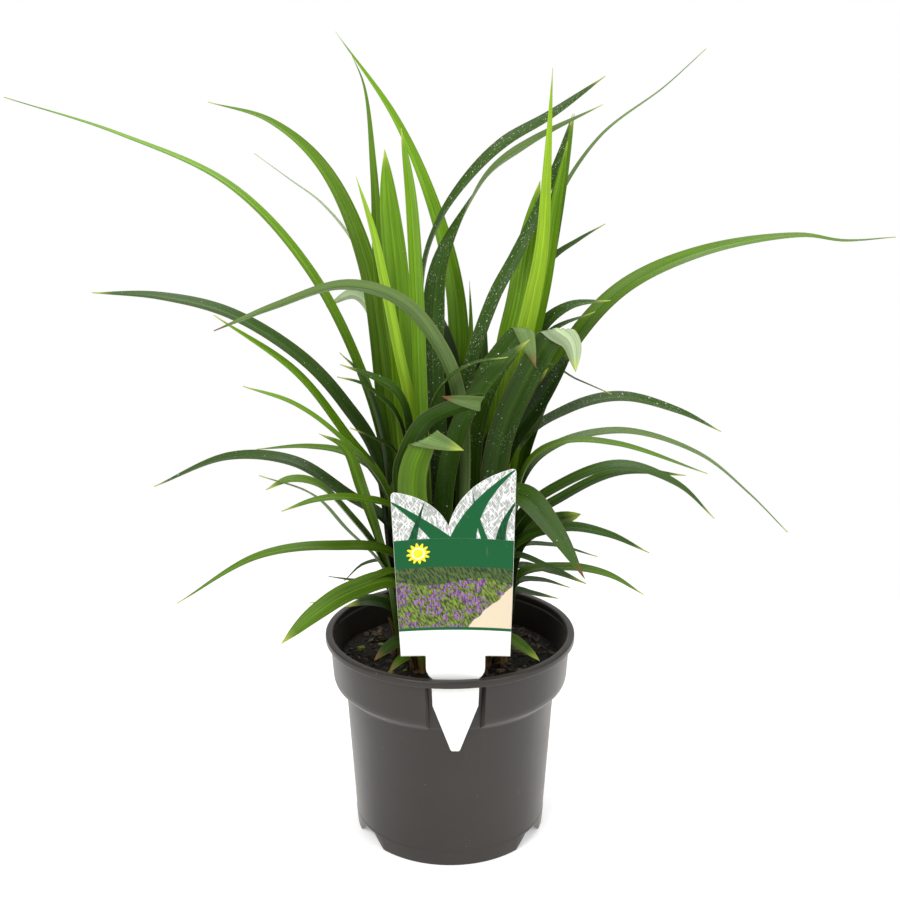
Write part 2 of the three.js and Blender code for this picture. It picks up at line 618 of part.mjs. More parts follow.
    leaves: [
      leaf(15, [85, 80], 4, [11, -16, 257], [18, -18, 304], [26, -22, 328], [38, -28, 333],
        [48, -34, 313]),
      leaf(15, [85, 80], 4, [29, -16, 257], [48, -18, 298], [60, -20, 325], [69, -26, 319],
        [74, -32, 304]),
      leaf(14, [80, 70], 4, [21, -12, 243], [39, -12, 281], [59, -12, 307]),
      leaf(12, [40, 18, 14], 3, [40, -24, 213], [69, -29, 240], [102, -32, 252], [135, -38, 242],
        [157, -42, 222]),
      leaf(16, [60, 40, 20], 3, [30, -34, 231], [43, -48, 238], [60, -72, 224], [75, -94, 204]),
      leaf(10, [40, 14], 3, [38, -24, 197], [68, -32, 213], [94, -38, 211], [119, -44, 201]),
      leaf(6, [30, 12], 3, [37, -20, 190], [60, -26, 186], [83, -32, 177]),
      leaf(8, [40, 20], 3, [36, -26, 138], [46, -34, 135], [55, -42, 130]),
    ],
  },
];

// The blade widens from its clasping root, keeps its width past the middle and narrows to its tip
function bladeWidth(width, fullness, along) {
  const widening = 0.55 + 0.45 * smoothstep(along, 0, 0.35);
  const narrowing = along < 0.5 ? 1 : 1 - ((along - 0.5) / 0.5) ** fullness;
  return width * Math.max(widening * narrowing, BLADE_TIP_SHARE);
}

// Corners of a blade's section, as fractions of its half width, of its keel and of its thickness:
// first along the lower face, then back along the upper face
const FLAT_SECTION = [
  [-1, 0, -0.5],
  [1, 0, -0.5],
  [1, 0, 0.5],
  [-1, 0, 0.5],
];
const KEELED_SECTION = [
  [-1, 0.5, -0.5],
  [0, -0.5, -0.5],
  [1, 0.5, -0.5],
  [1, 0.5, 0.5],
  [0, -0.5, 0.5],
  [-1, 0.5, 0.5],
];

// The roll part way along a blade, between rolls given at even steps from its root to its tip
function rollAt(rolls, along) {
  const position = along * (rolls.length - 1);
  const step = Math.min(Math.floor(position), rolls.length - 2);
  return THREE.MathUtils.lerp(rolls[step], rolls[step + 1], position - step);
}

function bladeSolid({ width, rolls, fullness, through }, root) {
  const tip = through[through.length - 1];
  const heading = new THREE.Vector3(tip[0] - root[0], tip[1] - root[1], 0).normalize();
  const offset = new THREE.Vector3(through[0][0] - root[0], through[0][1] - root[1], 0);
  const start = new THREE.Vector3(root[0], root[1], BLADE_START);
  start.add(offset.multiplyScalar(0.2).clampLength(0, BLADE_ROOT_REACH));
  const points = [start, ...through.map((point) => new THREE.Vector3(...point))];
  const midrib = new THREE.CatmullRomCurve3(points, false, 'centripetal');
  const stations = THREE.MathUtils.clamp(Math.round(midrib.getLength() / STATION_SPACING) + 3, 5, 11);
  const turn = heading.x < 0 ? -1 : 1;
  const section = width < KEELED_FROM_WIDTH ? FLAT_SECTION : KEELED_SECTION;
  const positions = [];
  for (let station = 0; station <= stations; station += 1) {
    const along = station / stations;
    const centre = midrib.getPointAt(along);
    const tangent = midrib.getTangentAt(along);
    const side = new THREE.Vector3(-heading.y, heading.x, 0);
    side.addScaledVector(tangent, -side.dot(tangent)).normalize();
    side.applyAxisAngle(tangent, radians(rollAt(rolls, along)) * turn);
    const up = tangent.clone().cross(side);
    const span = bladeWidth(width, fullness, along);
    const keel = span * (0.2 - 0.1 * along);
    for (const [acrossShare, keelShare, thicknessShare] of section) {
      const corner = centre
        .clone()
        .addScaledVector(side, (acrossShare * span) / 2)
        .addScaledVector(up, keelShare * keel + thicknessShare * BLADE_THICKNESS);
      positions.push(corner.x, corner.y, corner.z);
    }
  }
  return solidFromTriangles(positions, bladeTriangles(stations, section.length));
}

// Both faces of the blade are split along the same diagonals, so that they never cross
function bladeTriangles(stations, corners) {
  const triangles = [];
  for (let station = 0; station < stations; station += 1) {
    for (let corner = 0; corner < corners; corner += 1) {
      const a = station * corners + corner;
      const b = station * corners + ((corner + 1) % corners);
      const [c, d] = [a + corners, b + corners];
      if (corner < corners / 2) triangles.push(a, b, d, a, d, c);
      else triangles.push(a, b, c, b, d, c);
    }
  }
  const last = stations * corners;
  for (let corner = 0; corner < corners / 2 - 1; corner += 1) {
    const [a, b] = [corner, corner + 1];
    const [c, d] = [corners - 2 - corner, corners - 1 - corner];
    triangles.push(a, c, b, a, d, c);
    triangles.push(last + a, last + b, last + c, last + a, last + c, last + d);
  }
  return triangles;
}

function sheath([x, y]) {
  const topRadius = SHEATH_RADIUS * SHEATH_TAPER;
  const height = SHEATH_TOP - SHEATH_BOTTOM;
  const geometry = new THREE.CylinderGeometry(topRadius, SHEATH_RADIUS, height, SHEATH_SIDES);
  geometry.rotateX(Math.PI / 2);
  geometry.scale(1, SHEATH_FLATNESS, 1);
  geometry.translate(x, y, (SHEATH_TOP + SHEATH_BOTTOM) / 2);
  return solidFromGeometry(geometry);
}

// Where blades cross in a shoot they are fused, and the small hollows between them are filled
function shootSolid({ root, leaves }) {
  const fused = leaves.reduce((solid, row) => solid.add(bladeSolid(row, root)), sheath(root));
  const shells = fused.decompose();
  return shells.reduce((largest, shell) => (shell.volume() > largest.volume() ? shell : largest));
}

// The parts

const potMaterial = new THREE.MeshStandardMaterial({ color: 0x57524e, roughness: 0.5 });
const mixMaterial = new THREE.MeshStandardMaterial({ color: 0x2b211a, roughness: 0.95 });
const labelMaterial = new THREE.MeshStandardMaterial({ color: 0xf2f3ef, roughness: 0.35 });

const plant = new THREE.Group();
plant.add(namedMesh('pot', withDrainage(withLabelSlot(potBody())), potMaterial));

const holes = shoots.map(({ root: [x, y] }) => (
  upright(HOLE_RADIUS, x, y, SHEATH_BOTTOM - MIX_GAP, POT_HEIGHT, HOLE_SIDES)
));
const mix = holes.reduce((solid, hole) => solid.subtract(hole), pottingMix().subtract(slotClearance()));
plant.add(namedMesh('potting_mix', mix, mixMaterial));

plant.add(namedMesh('label', labelPlate(), labelMaterial));

for (const shoot of shoots) {
  const material = new THREE.MeshStandardMaterial({ color: shoot.colour, roughness: 0.45 });
  plant.add(namedMesh(shoot.name, shootSolid(shoot), material));
}

export default plant;
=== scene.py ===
"""A flax lily in its nursery pot: pot, potting mix, plant label and thirteen leafy shoots.

Metres, +Z up, the origin under the middle of the pot, and -Y the front. The tables of sizes below
are in millimetres, and are turned into metres where a mesh is made.
"""
import math

import bpy
import numpy as np
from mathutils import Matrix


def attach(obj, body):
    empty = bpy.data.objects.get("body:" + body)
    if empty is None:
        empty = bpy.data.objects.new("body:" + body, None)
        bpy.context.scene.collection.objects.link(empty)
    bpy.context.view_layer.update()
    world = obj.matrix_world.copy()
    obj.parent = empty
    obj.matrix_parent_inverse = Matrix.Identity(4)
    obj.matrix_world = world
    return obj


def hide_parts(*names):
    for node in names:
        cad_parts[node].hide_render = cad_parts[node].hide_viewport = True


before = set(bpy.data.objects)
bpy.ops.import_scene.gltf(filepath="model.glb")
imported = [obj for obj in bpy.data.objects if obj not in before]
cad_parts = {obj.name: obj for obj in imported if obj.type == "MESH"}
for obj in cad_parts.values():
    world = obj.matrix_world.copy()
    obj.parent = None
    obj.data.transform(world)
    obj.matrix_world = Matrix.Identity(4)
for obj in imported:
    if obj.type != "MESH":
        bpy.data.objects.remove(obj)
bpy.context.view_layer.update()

bl_info = {
    "name": "Flax lily in a nursery pot",
    "version": (1, 0, 0),
    "blender": (4, 5, 0),
    "location": "3D View > Sidebar > Plant",
    "description": "Builds a potted flax lily from leaf paths, a pot profile and a label outline",
    "category": "Add Mesh",
}

MM = 0.001


def paint(red, green, blue):
    """A colour from 0 to 255 a channel, as the linear light values that Blender stores."""
    shares = [channel / 255 for channel in (red, green, blue)]
    return tuple(
        share / 12.92 if share <= 0.04045 else ((share + 0.055) / 1.055) ** 2.4 for share in shares
    )


def size(name, description, default):
    """A length that a user may change."""
    return bpy.props.FloatProperty(
        name=name, description=description, default=default, min=0.0, precision=4, unit="LENGTH"
    )


def colour(name, description, default):
    """A colour that a user may change."""
    return bpy.props.FloatVectorProperty(
        name=name, description=description, default=default, size=3, min=0.0, max=1.0,
        subtype="COLOR",
    )


class PotProperties(bpy.types.PropertyGroup):
    """Sizes and colours of the pot"""

    rim_radius: size("Rim radius", "Outside radius of the lip", 0.080)
    height: size("Height", "Height of the pot", 0.134)
    wall: size("Wall", "Thickness of the wall", 0.0018)
    plastic: colour("Plastic", "Colour of the moulded plastic", paint(41, 36, 31))
    # Also the colour of the painted sheen along the pot's edges as seen.
    scuff: colour("Scuffs", "Colour of scratches and dust", paint(126, 121, 115))


class MixProperties(bpy.types.PropertyGroup):
    """Sizes and colours of the potting mix"""

    level: size("Level", "Height of the surface above the ground", 0.112)
    chips: bpy.props.IntProperty(
        name="Chips", description="How many bark chips lie on the surface", default=1500, min=0
    )
    humus: colour("Humus", "Colour of the fine dark mix", paint(19, 17, 14))
    bark_dark: colour("Dark bark", "Colour of the darkest chips", paint(24, 21, 17))
    bark_light: colour("Light bark", "Colour of the lightest chips", paint(118, 100, 78))


class LabelProperties(bpy.types.PropertyGroup):
    """Sizes and colours of the label"""

    thickness: size("Thickness", "Thickness of the plastic card", 0.0007)
    card: colour("Card", "Colour of the unprinted plastic", paint(243, 244, 241))
    ink_green: colour("Green ink", "Colour of the band and the printed blades", paint(6, 88, 44))
    ink_deep: colour("Deep green ink", "Colour of the shaded printed blades", paint(3, 54, 26))
    ink_yellow: colour("Yellow ink", "Colour of the sun disc", paint(250, 224, 40))


class LeafProperties(bpy.types.PropertyGroup):
    """Sizes and colours of the leaves"""

    thickness: size("Thickness", "Thickness of a blade at its midrib", 0.0006)
    # Leaf tones: each leaf takes the tones that match how bright it looks, so beside the leaves'
    # own colours they carry painted light and shade for how each leaf faces the light.
    fresh: colour("Fresh", "Youngest leaves", paint(140, 178, 34))
    bright: colour("Bright", "Young leaves", paint(106, 150, 18))
    mid: colour("Mid", "Grown leaves", paint(86, 122, 18))
    dark: colour("Dark", "Old leaves", paint(50, 80, 14))
    # Painted shade: the darkest leaf colour, for leaves that lie in the shadow deep in the tuft.
    deep_shade: colour("Deepest", "Old leaves deep in the tuft", paint(34, 56, 12))
    # Grey green: the bloom on undersides, and on upper faces a painted sheen, the grey of white
    # light reflected off the leaf.
    grey: colour("Grey green", "Bloom on the underside", paint(102, 128, 68))
    pale: colour("Pale", "Palest undersides", paint(158, 176, 134))
    margin: colour("Margin", "Thin dry edge of a blade", paint(112, 92, 58))
    tip_yellow: colour("Yellow tip", "Yellowing leaf tips", paint(190, 204, 84))
    tip_red: colour("Red tip", "Reddened leaf tips", paint(132, 62, 44))
    tip_brown: colour("Brown tip", "Dried leaf tips", paint(126, 100, 58))
    sheath: colour("Sheath", "Leaf bases at the surface of the mix", paint(118, 84, 56))


PROPERTY_GROUPS = {
    "lily_pot": PotProperties,
    "lily_mix": MixProperties,
    "lily_label": LabelProperties,
    "lily_leaf": LeafProperties,
}

# Tools for meshes


def grid_quads(rows, columns, closed):
    """Quads of a grid of points. Where it is closed, the last column joins the first."""
    row, column = np.meshgrid(
        np.arange(rows - 1), np.arange(columns if closed else columns - 1), indexing="ij"
    )
    following = (column + 1) % columns
    corners = [
        row * columns + column,
        row * columns + following,
        (row + 1) * columns + following,
        (row + 1) * columns + column,
    ]
    return np.stack(corners, axis=-1).reshape(-1, 4)


def smooth(value, low, high):
    """0 below low, 1 above high, and 3t^2 - 2t^3 between them."""
    share = np.clip((np.asarray(value, float) - low) / (high - low), 0, 1)
    return share * share * (3 - 2 * share)


def fan(ring, pole):
    """Triangles from a pole to each edge of a closed ring, facing as the ring turns."""
    return np.stack([np.roll(ring, -1), ring, np.full(len(ring), pole)], axis=-1)


def capped(rows, columns):
    """Faces of a tube of closed rings, and of its two ends, each drawn to a pole.

    The points of the poles follow those of the rings.
    """
    first, pole = np.arange(columns), rows * columns
    last = first + (rows - 1) * columns
    return [grid_quads(rows, columns, True), fan(first, pole), fan(last[::-1], pole + 1)]


def ringed(values):
    """Values on rings as one list, and for the poles the means of the first and last ring."""
    return np.vstack([values.reshape(-1, values.shape[-1]), values[[0, -1]].mean(axis=1)])


def turned(radius, turn, height):
    """Points at a radius from the upright axis, an angle round it, and a height."""
    parts = (radius * np.cos(turn), radius * np.sin(turn), height)
    return np.stack(np.broadcast_arrays(*parts), axis=-1)


def quadratic(first, control, last, count):
    """Points along a quadratic curve: (1-t)^2 first + 2t(1-t) control + t^2 last."""
    share = np.linspace(0, 1, count)[:, None]
    first, control, last = (np.asarray(point, float) for point in (first, control, last))
    return (1 - share) ** 2 * first + 2 * share * (1 - share) * control + share**2 * last


def evenly(points, count):
    """So many points at even distances along a polyline, and its length."""
    along = np.concatenate([[0], np.cumsum(np.linalg.norm(np.diff(points, axis=0), axis=1))])
    wanted = np.linspace(0, along[-1], count)
    return np.column_stack([np.interp(wanted, along, part) for part in points.T]), along[-1]


class Surface:
    """Points in millimetres, faces, and values at the points, gathered from many shells."""

    def __init__(self):
        self.points = []
        self.faces = []
        self.materials = []
        self.values = {}
        self.count = 0

    def add(self, points, faces, material=0, **values):
        """Adds one shell: its points, its faces by their corners' numbers, and point values."""
        for block in faces:
            self.faces.extend((np.asarray(block) + self.count).tolist())
            self.materials.extend([material] * len(block))
        self.points.append(np.asarray(points, float))
        for name, value in values.items():
            self.values.setdefault(name, []).append(np.asarray(value, float))
        self.count += len(points)

    def mesh(self, name):
        """The gathered shells as one mesh in metres."""
        made = bpy.data.meshes.new(name)
        made.from_pydata((np.vstack(self.points) * MM).tolist(), [], self.faces)
        made.polygons.foreach_set("material_index", self.materials)
        corners = np.empty(len(made.loops), np.int32)
        made.loops.foreach_get("vertex_index", corners)
        for key, parts in self.values.items():
            value = np.vstack(parts)
            if value.shape[1] == 2:
                made.uv_layers.new(name=key).data.foreach_set("uv", value[corners].ravel())
            else:
                opaque = np.ones((len(value), 4 - value.shape[1]))
                layer = made.attributes.new(key, "FLOAT_COLOR", "POINT")
                layer.data.foreach_set("color", np.hstack([value, opaque]).ravel())
        made.update()
        return made


def place(name, surface, materials, sharp_angle, body="root"):
    """Makes a surface a smooth-shaded piece of the object, and rides it on its body."""
    mesh = surface.mesh(name)
    piece = bpy.data.objects.new(name, mesh)
    bpy.context.scene.collection.objects.link(piece)
    for material in materials:
        mesh.materials.append(material)
    mesh.shade_smooth()
    mesh.set_sharp_from_angle(angle=math.radians(sharp_angle))
    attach(piece, body)
    return piece


# Tools for materials


class Shader:
    """Adds nodes to a tree. A number, a colour or another node's output may go into any input."""

    def __init__(self, tree):
        self.tree = tree

    def plug(self, socket, value):
        if isinstance(value, bpy.types.NodeSocket):
            self.tree.links.new(value, socket)
        elif socket.type == "RGBA":
            socket.default_value = (*value, 1)
        else:
            socket.default_value = value

    def fill(self, node, **inputs):
        """Plugs values into the inputs of these names, where _ stands for a space."""
        for name, value in inputs.items():
            self.plug(node.inputs[name.replace("_", " ")], value)
        return node

    def node(self, kind, settings=None, *values, **inputs):
        """A new node with its settings, its first inputs in their order, and others by name."""
        made = self.tree.nodes.new(kind)
        for name, value in (settings or {}).items():
            setattr(made, name, value)
        for socket, value in zip(made.inputs, values):
            self.plug(socket, value)
        return self.fill(made, **inputs)

    def math(self, operation, *values, clamp=False):
        settings = {"operation": operation, "use_clamp": clamp}
        return self.node("ShaderNodeMath", settings, *values).outputs[0]

    def step(self, value, low, high, first=0.0, last=1.0):
        """first below low, last above high, and a smooth change between them."""
        settings = {"interpolation_type": "SMOOTHSTEP"}
        return self.node("ShaderNodeMapRange", settings, value, low, high, first, last).outputs[0]

    def mix(self, share, low, high, blend="MIX"):
        made = self.node("ShaderNodeMix", {"data_type": "RGBA", "blend_type": blend}, share)
        self.plug(made.inputs[6], low)
        self.plug(made.inputs[7], high)
        return made.outputs[2]

    def shaded(self, base, amount):
        """The colour made lighter or darker by an amount."""
        grey = self.node("ShaderNodeCombineColor", None, amount, amount, amount).outputs[0]
        return self.mix(1.0, base, grey, "MULTIPLY")

    def noise(self, place_, scale, detail=3.0, roughness=0.5):
        inputs = {"Vector": place_, "Scale": scale, "Detail": detail, "Roughness": roughness}
        return self.node("ShaderNodeTexNoise", **inputs).outputs[0]

    def cells(self, place_, scale):
        """The distance from the middle of the nearest of many scattered cells."""
        return self.node("ShaderNodeTexVoronoi", Vector=place_, Scale=scale).outputs["Distance"]

    def vector_math(self, operation, *values):
        return self.node("ShaderNodeVectorMath", {"operation": operation}, *values).outputs

    def stretched(self, place_, along_x, along_y, along_z):
        """The place with each axis multiplied, so that a pattern on it is drawn out."""
        return self.vector_math("MULTIPLY", place_, (along_x, along_y, along_z))[0]

    def parts(self, place_):
        return self.node("ShaderNodeSeparateXYZ", Vector=place_).outputs

    def sheared(self, place_, slant):
        """The place moved along x by slant y, so that upright streaks on it lean."""
        leaned = self.vector_math("DOT_PRODUCT", place_, (1.0, slant, 0.0))["Value"]
        return self.node("ShaderNodeCombineXYZ", X=leaned, Y=self.parts(place_)[1]).outputs[0]

    def object_place(self):
        return self.node("ShaderNodeTexCoord").outputs["Object"]

    def uv_place(self, name):
        return self.node("ShaderNodeUVMap", {"uv_map": name}).outputs[0]

    def attribute(self, name):
        return self.node("ShaderNodeAttribute", {"attribute_name": name}).outputs

    def bump(self, height, distance, strength=1.0, **under):
        inputs = {"Height": height, "Distance": distance, "Strength": strength, **under}
        return self.node("ShaderNodeBump", **inputs).outputs[0]

    def group(self, name, **inputs):
        settings = {"node_tree": bpy.data.node_groups[name]}
        return self.node("ShaderNodeGroup", settings, **inputs).outputs


def new_material(name, **constants):
    """A material, a shader that adds nodes to it, and its Principled BSDF with constants set."""
    material = bpy.data.materials.new(name)
    material.use_nodes = True
    shader = Shader(material.node_tree)
    surface = next(node for node in shader.tree.nodes if node.type == "BSDF_PRINCIPLED")
    return material, shader, shader.fill(surface, **constants)


def new_group(name, inputs, outputs):
    """An empty node group: its inputs with their kinds and defaults, and its number outputs."""
    tree = bpy.data.node_groups.new(name, "ShaderNodeTree")
    for label, kind, default in inputs:
        socket = tree.interface.new_socket(label, in_out="INPUT", socket_type=kind)
        if default is not None:
            socket.default_value = default
    for label in outputs:
        tree.interface.new_socket(label, in_out="OUTPUT", socket_type="NodeSocketFloat")
    shader = Shader(tree)
    return shader, shader.node("NodeGroupInput").outputs, shader.node("NodeGroupOutput")


def make_moulded_grain():
    """Fine unevenness of moulded plastic: a height, a share of dust and scuffs, and a cloud."""
    shader, given, result = new_group(
        "moulded_grain",
        [
            ("Place", "NodeSocketVector", None),
            ("Grain scale", "NodeSocketFloat", 900.0),
            ("Dust", "NodeSocketFloat", 0.3),
        ],
        ("Height", "Scuffs", "Cloud"),
    )
    where = given["Place"]
    cloud = shader.noise(where, 14.0, 4.0, 0.6)
    dot = shader.step(shader.cells(where, 210.0), 0.10, 0.04)
    chance = shader.step(shader.noise(where, 60.0, 2.0), 0.56, 0.66)
    lines = shader.noise(shader.stretched(where, 260.0, 260.0, 22.0), 1.0, 3.0, 0.7)
    scratch = shader.math("MULTIPLY", shader.step(lines, 0.66, 0.74), shader.step(cloud, 0.5, 0.7))
    marks = shader.math("MAXIMUM", shader.math("MULTIPLY", dot, chance), scratch)
    shader.fill(
        result,
        Height=shader.noise(where, given["Grain scale"], 2.0),
        Scuffs=shader.math("MULTIPLY", marks, given["Dust"], clamp=True),
        Cloud=cloud,
    )


def moulded_finish(shader, surface, base, scuff, scale, dust, rough, depth, strength, wear=0.0):
    """Gives a colour the moulded grain: scuffs, a gloss that varies, and a fine bump."""
    grain = shader.group(
        "moulded_grain", Place=shader.object_place(), Grain_scale=scale, Dust=dust
    )
    gloss = shader.step(grain["Cloud"], 0.3, 0.7, *rough)
    shader.fill(
        surface,
        Base_Color=shader.mix(grain["Scuffs"], base, scuff),
        Roughness=shader.math("MULTIPLY_ADD", grain["Scuffs"], wear, gloss),
        Normal=shader.bump(grain["Height"], depth, strength),
    )


# Pot

BASE_RADIUS = 61.6
BODY_TOP_RADIUS = 67.4
BODY_TOP_HEIGHT = 96.5
COLLAR_LOW_RADIUS = 75.2
COLLAR_TOP_RADIUS = 77.0
COLLAR_BOTTOM = 103.0
LIP_TOP = 134.0
LIP_DEPTH = 4.4
LIP_WIDTH = 4.6
FLOOR_DISC_RADIUS = 40.0
CHANNEL_RADIUS = 44.0
CHANNEL_HEIGHT = 8.5
NOTCH_ANGLES = (90.0, 213.0, 327.0)
NOTCH_HALF_WIDTH = 14.5
NOTCH_TOP_HALF_WIDTH = 5.5
NOTCH_HEIGHT = 7.5
DRAIN_HOLE_RADIUS = 3.2
DRAIN_HOLE_RING = 52.0
DRAIN_HOLE_ANGLES = (-32.0, 0.0, 32.0)
SLOT_CENTRE = 3.2
SLOT_HALF_WIDTH = 17.2
PANEL_LOW_RADIUS = 68.3
PANEL_TOP_RADIUS = 73.2
PANEL_BOTTOM = 98.0
PANEL_TOP = 131.0
WITNESS_HEIGHT = 10.0
EDGE_TURN = 0.5
WALL = 1.8
CUTTER_SIDES = 24
CUTTER_REACH = (3.0, 5.0)


def rounded(corners, steps=5):
    """A polyline of (radius, height, fillet) corners with each corner rounded.

    A corner's fillet is a quadratic curve from a point on the edge before it to one on the edge
    after it, both a fillet's length from the corner.
    """
    corners = np.asarray(corners, float)
    points = [corners[:1, :2]]
    for before, corner, after in zip(corners[:-2], corners[1:-1], corners[2:]):
        middle = corner[:2]
        towards, onwards = before[:2] - middle, after[:2] - middle
        reach = [min(corner[2], np.linalg.norm(edge) * 0.45) for edge in (towards, onwards)]
        first = middle + towards / np.linalg.norm(towards) * reach[0]
        last = middle + onwards / np.linalg.norm(onwards) * reach[1]
        points.append(quadratic(first, middle, last, steps))
    points.append(corners[-1:, :2])
    return np.vstack(points)


def pot_angles():
    """Angles round the pot in degrees, closer together at the steps of the slot and the notches."""
    edges = []
    for edge in (*slot_edges(0), *slot_edges(WALL)):
        edges.extend(edge + EDGE_TURN * np.linspace(-1, 1, 7))
    for middle in NOTCH_ANGLES:
        for reach in (NOTCH_TOP_HALF_WIDTH, NOTCH_HALF_WIDTH):
            turn = math.degrees(math.asin(reach / BASE_RADIUS))
            edges.extend(middle + side * turn + step for side in (-1, 1) for step in (-0.4, 0, 0.4))
    return np.unique(np.round(np.concatenate([np.arange(0, 360, 2.0), np.mod(edges, 360)]), 3))


def slot_edges(extra):
    """The two angles that the label slot lies between, widened by so many millimetres a side."""
    reach = SLOT_HALF_WIDTH + extra
    ring = (COLLAR_TOP_RADIUS + PANEL_TOP_RADIUS) / 2
    return [270 + math.degrees(math.asin((SLOT_CENTRE + side * reach) / ring)) for side in (-1, 1)]


def within(angle, low, high, turn):
    """1 between two angles and 0 outside, with a smooth step over turn degrees at each."""
    middle = (low + high) / 2
    off = np.abs((angle - middle + 180) % 360 - 180)
    return 1 - smooth(off, (high - low) / 2 - turn, (high - low) / 2 + turn)


def wall_profiles(wall):
    """The section of the wall and floor, as it is all round and as it is behind the label slot.

    Both run from the middle of the underside up the outside and down the inside, and have their
    points in step, so that the wall can change from one to the other.
    """
    top = CHANNEL_HEIGHT + wall
    skirt = BASE_RADIUS - wall
    slope = (BODY_TOP_RADIUS - BASE_RADIUS) / BODY_TOP_HEIGHT
    lip_bottom = LIP_TOP - LIP_DEPTH
    below = [
        (0, 0, 0),
        (FLOOR_DISC_RADIUS, 0, 1.5),
        (CHANNEL_RADIUS, CHANNEL_HEIGHT, 1.5),
        (skirt + 0.4, CHANNEL_HEIGHT, 0.8),
        (skirt, 0, 0.5),
        (BASE_RADIUS, 0, 0.8),
        (BASE_RADIUS + slope * WITNESS_HEIGHT + 0.12, WITNESS_HEIGHT, 0.3),
        (BASE_RADIUS + slope * (WITNESS_HEIGHT + 0.8) - 0.1, WITNESS_HEIGHT + 0.8, 0.3),
        (BODY_TOP_RADIUS, BODY_TOP_HEIGHT, 1.6),
    ]
    collar = [
        (COLLAR_LOW_RADIUS - 0.9, COLLAR_BOTTOM - 1.2, 2.4),
        (COLLAR_LOW_RADIUS + 0.1, COLLAR_BOTTOM + 2.2, 2),
        (COLLAR_TOP_RADIUS, lip_bottom, 0.4),
        (COLLAR_TOP_RADIUS + 0.8, lip_bottom + 1.4, 0.3),
        (COLLAR_TOP_RADIUS - 0.2, lip_bottom + 1.4, 0.3),
        (COLLAR_TOP_RADIUS - wall, lip_bottom - 1.2, 1),
        (COLLAR_LOW_RADIUS - wall, COLLAR_BOTTOM + 2, 1.5),
        (COLLAR_LOW_RADIUS - wall - 0.9, COLLAR_BOTTOM - 0.2, 1.5),
    ]
    panel = [
        (PANEL_LOW_RADIUS, PANEL_BOTTOM, 1),
        (PANEL_LOW_RADIUS + 0.6, PANEL_BOTTOM + 4, 1),
        (PANEL_TOP_RADIUS - 0.1, PANEL_TOP - 0.8, 0.5),
        (PANEL_TOP_RADIUS - 0.4, PANEL_TOP, 0.4),
        (PANEL_TOP_RADIUS - wall + 0.3, PANEL_TOP, 0.4),
        (PANEL_TOP_RADIUS - wall - 0.2, PANEL_TOP - 1.2, 0.5),
        (PANEL_LOW_RADIUS + 0.8 - wall, PANEL_BOTTOM + 5, 1),
        (PANEL_LOW_RADIUS + 0.2 - wall, PANEL_BOTTOM + 1.4, 1),
    ]
    inside = [
        (BODY_TOP_RADIUS - 0.6, BODY_TOP_HEIGHT + 2.6, 1.5),
        (BODY_TOP_RADIUS - wall, BODY_TOP_HEIGHT + 1.4, 1.5),
        (BASE_RADIUS + slope * top - wall, top, 1.5),
        (CHANNEL_RADIUS + 1, top, 1.5),
        (FLOOR_DISC_RADIUS + 0.8, wall, 1.5),
        (0, wall, 0),
    ]
    behind_slot = inside.copy()
    behind_slot[0] = (PANEL_LOW_RADIUS - wall, PANEL_BOTTOM + 0.6, 1)
    return rounded(below + collar + inside), rounded(below + panel + behind_slot)


def pot_wall(wall):
    """The wall and floor: a section carried round the axis, pushed in at the slot.

    At each angle the section is (1-m) all-round + m behind-slot, where m steps from 0 to 1 at the
    slot's edges, a wall's thickness further out on the inside. At a notch the skirt's lower edge is
    raised by height (a - d) / (a - b), held between 0 and the height, at d from the notch's middle,
    where a is its half width at the ground and b at its top.
    """
    plain, pushed = wall_profiles(wall)
    angles = pot_angles()
    outer_count = np.argmax(plain[:, 0] + (plain[:, 1] > LIP_TOP - 5))
    masks = [within(angles, *slot_edges(extra), EDGE_TURN) for extra in (0, wall)]
    share = np.where(np.arange(len(plain))[:, None] <= outer_count + 3, masks[0], masks[1])
    radius = (1 - share) * plain[:, :1] + share * pushed[:, :1]
    height = (1 - share) * plain[:, 1:] + share * pushed[:, 1:]
    off = np.abs((angles - np.array(NOTCH_ANGLES)[:, None] + 180) % 360 - 180).min(axis=0)
    off = BASE_RADIUS * np.sin(np.radians(np.minimum(off, 90)))
    notch = np.clip((NOTCH_HALF_WIDTH - off) / (NOTCH_HALF_WIDTH - NOTCH_TOP_HALF_WIDTH), 0, 1)
    skirt = (plain[:, :1] > CHANNEL_RADIUS + 8) & (plain[:, 1:] < 2)
    height = height + np.where(skirt, notch * NOTCH_HEIGHT, 0)
    points = turned(radius, np.radians(angles), height)[1:-1]
    poles = [[0, 0, plain[0, 1]], [0, 0, plain[-1, 1]]]
    surface = Surface()
    surface.add(np.vstack([points.reshape(-1, 3), poles]), capped(*points.shape[:2]))
    return surface


def lip(rim_radius, height):
    """Points and quads of the lip: a rounded rectangle carried round the axis."""
    inner, bottom = rim_radius - LIP_WIDTH, height - LIP_DEPTH
    section = rounded([
        (rim_radius - 1.5, bottom, 0),
        (rim_radius, bottom, 0.8),
        (rim_radius, height, 1.3),
        (inner, height, 1.1),
        (inner - 0.2, bottom, 0.6),
        (rim_radius - 1.5, bottom, 0),
    ])[:-1]
    points = turned(section[:, :1], np.radians(np.arange(0, 360, 2.0)), section[:, 1:])
    rows, columns = points.shape[:2]
    return points.reshape(-1, 3), grid_quads(rows + 1, columns, True) % (rows * columns)


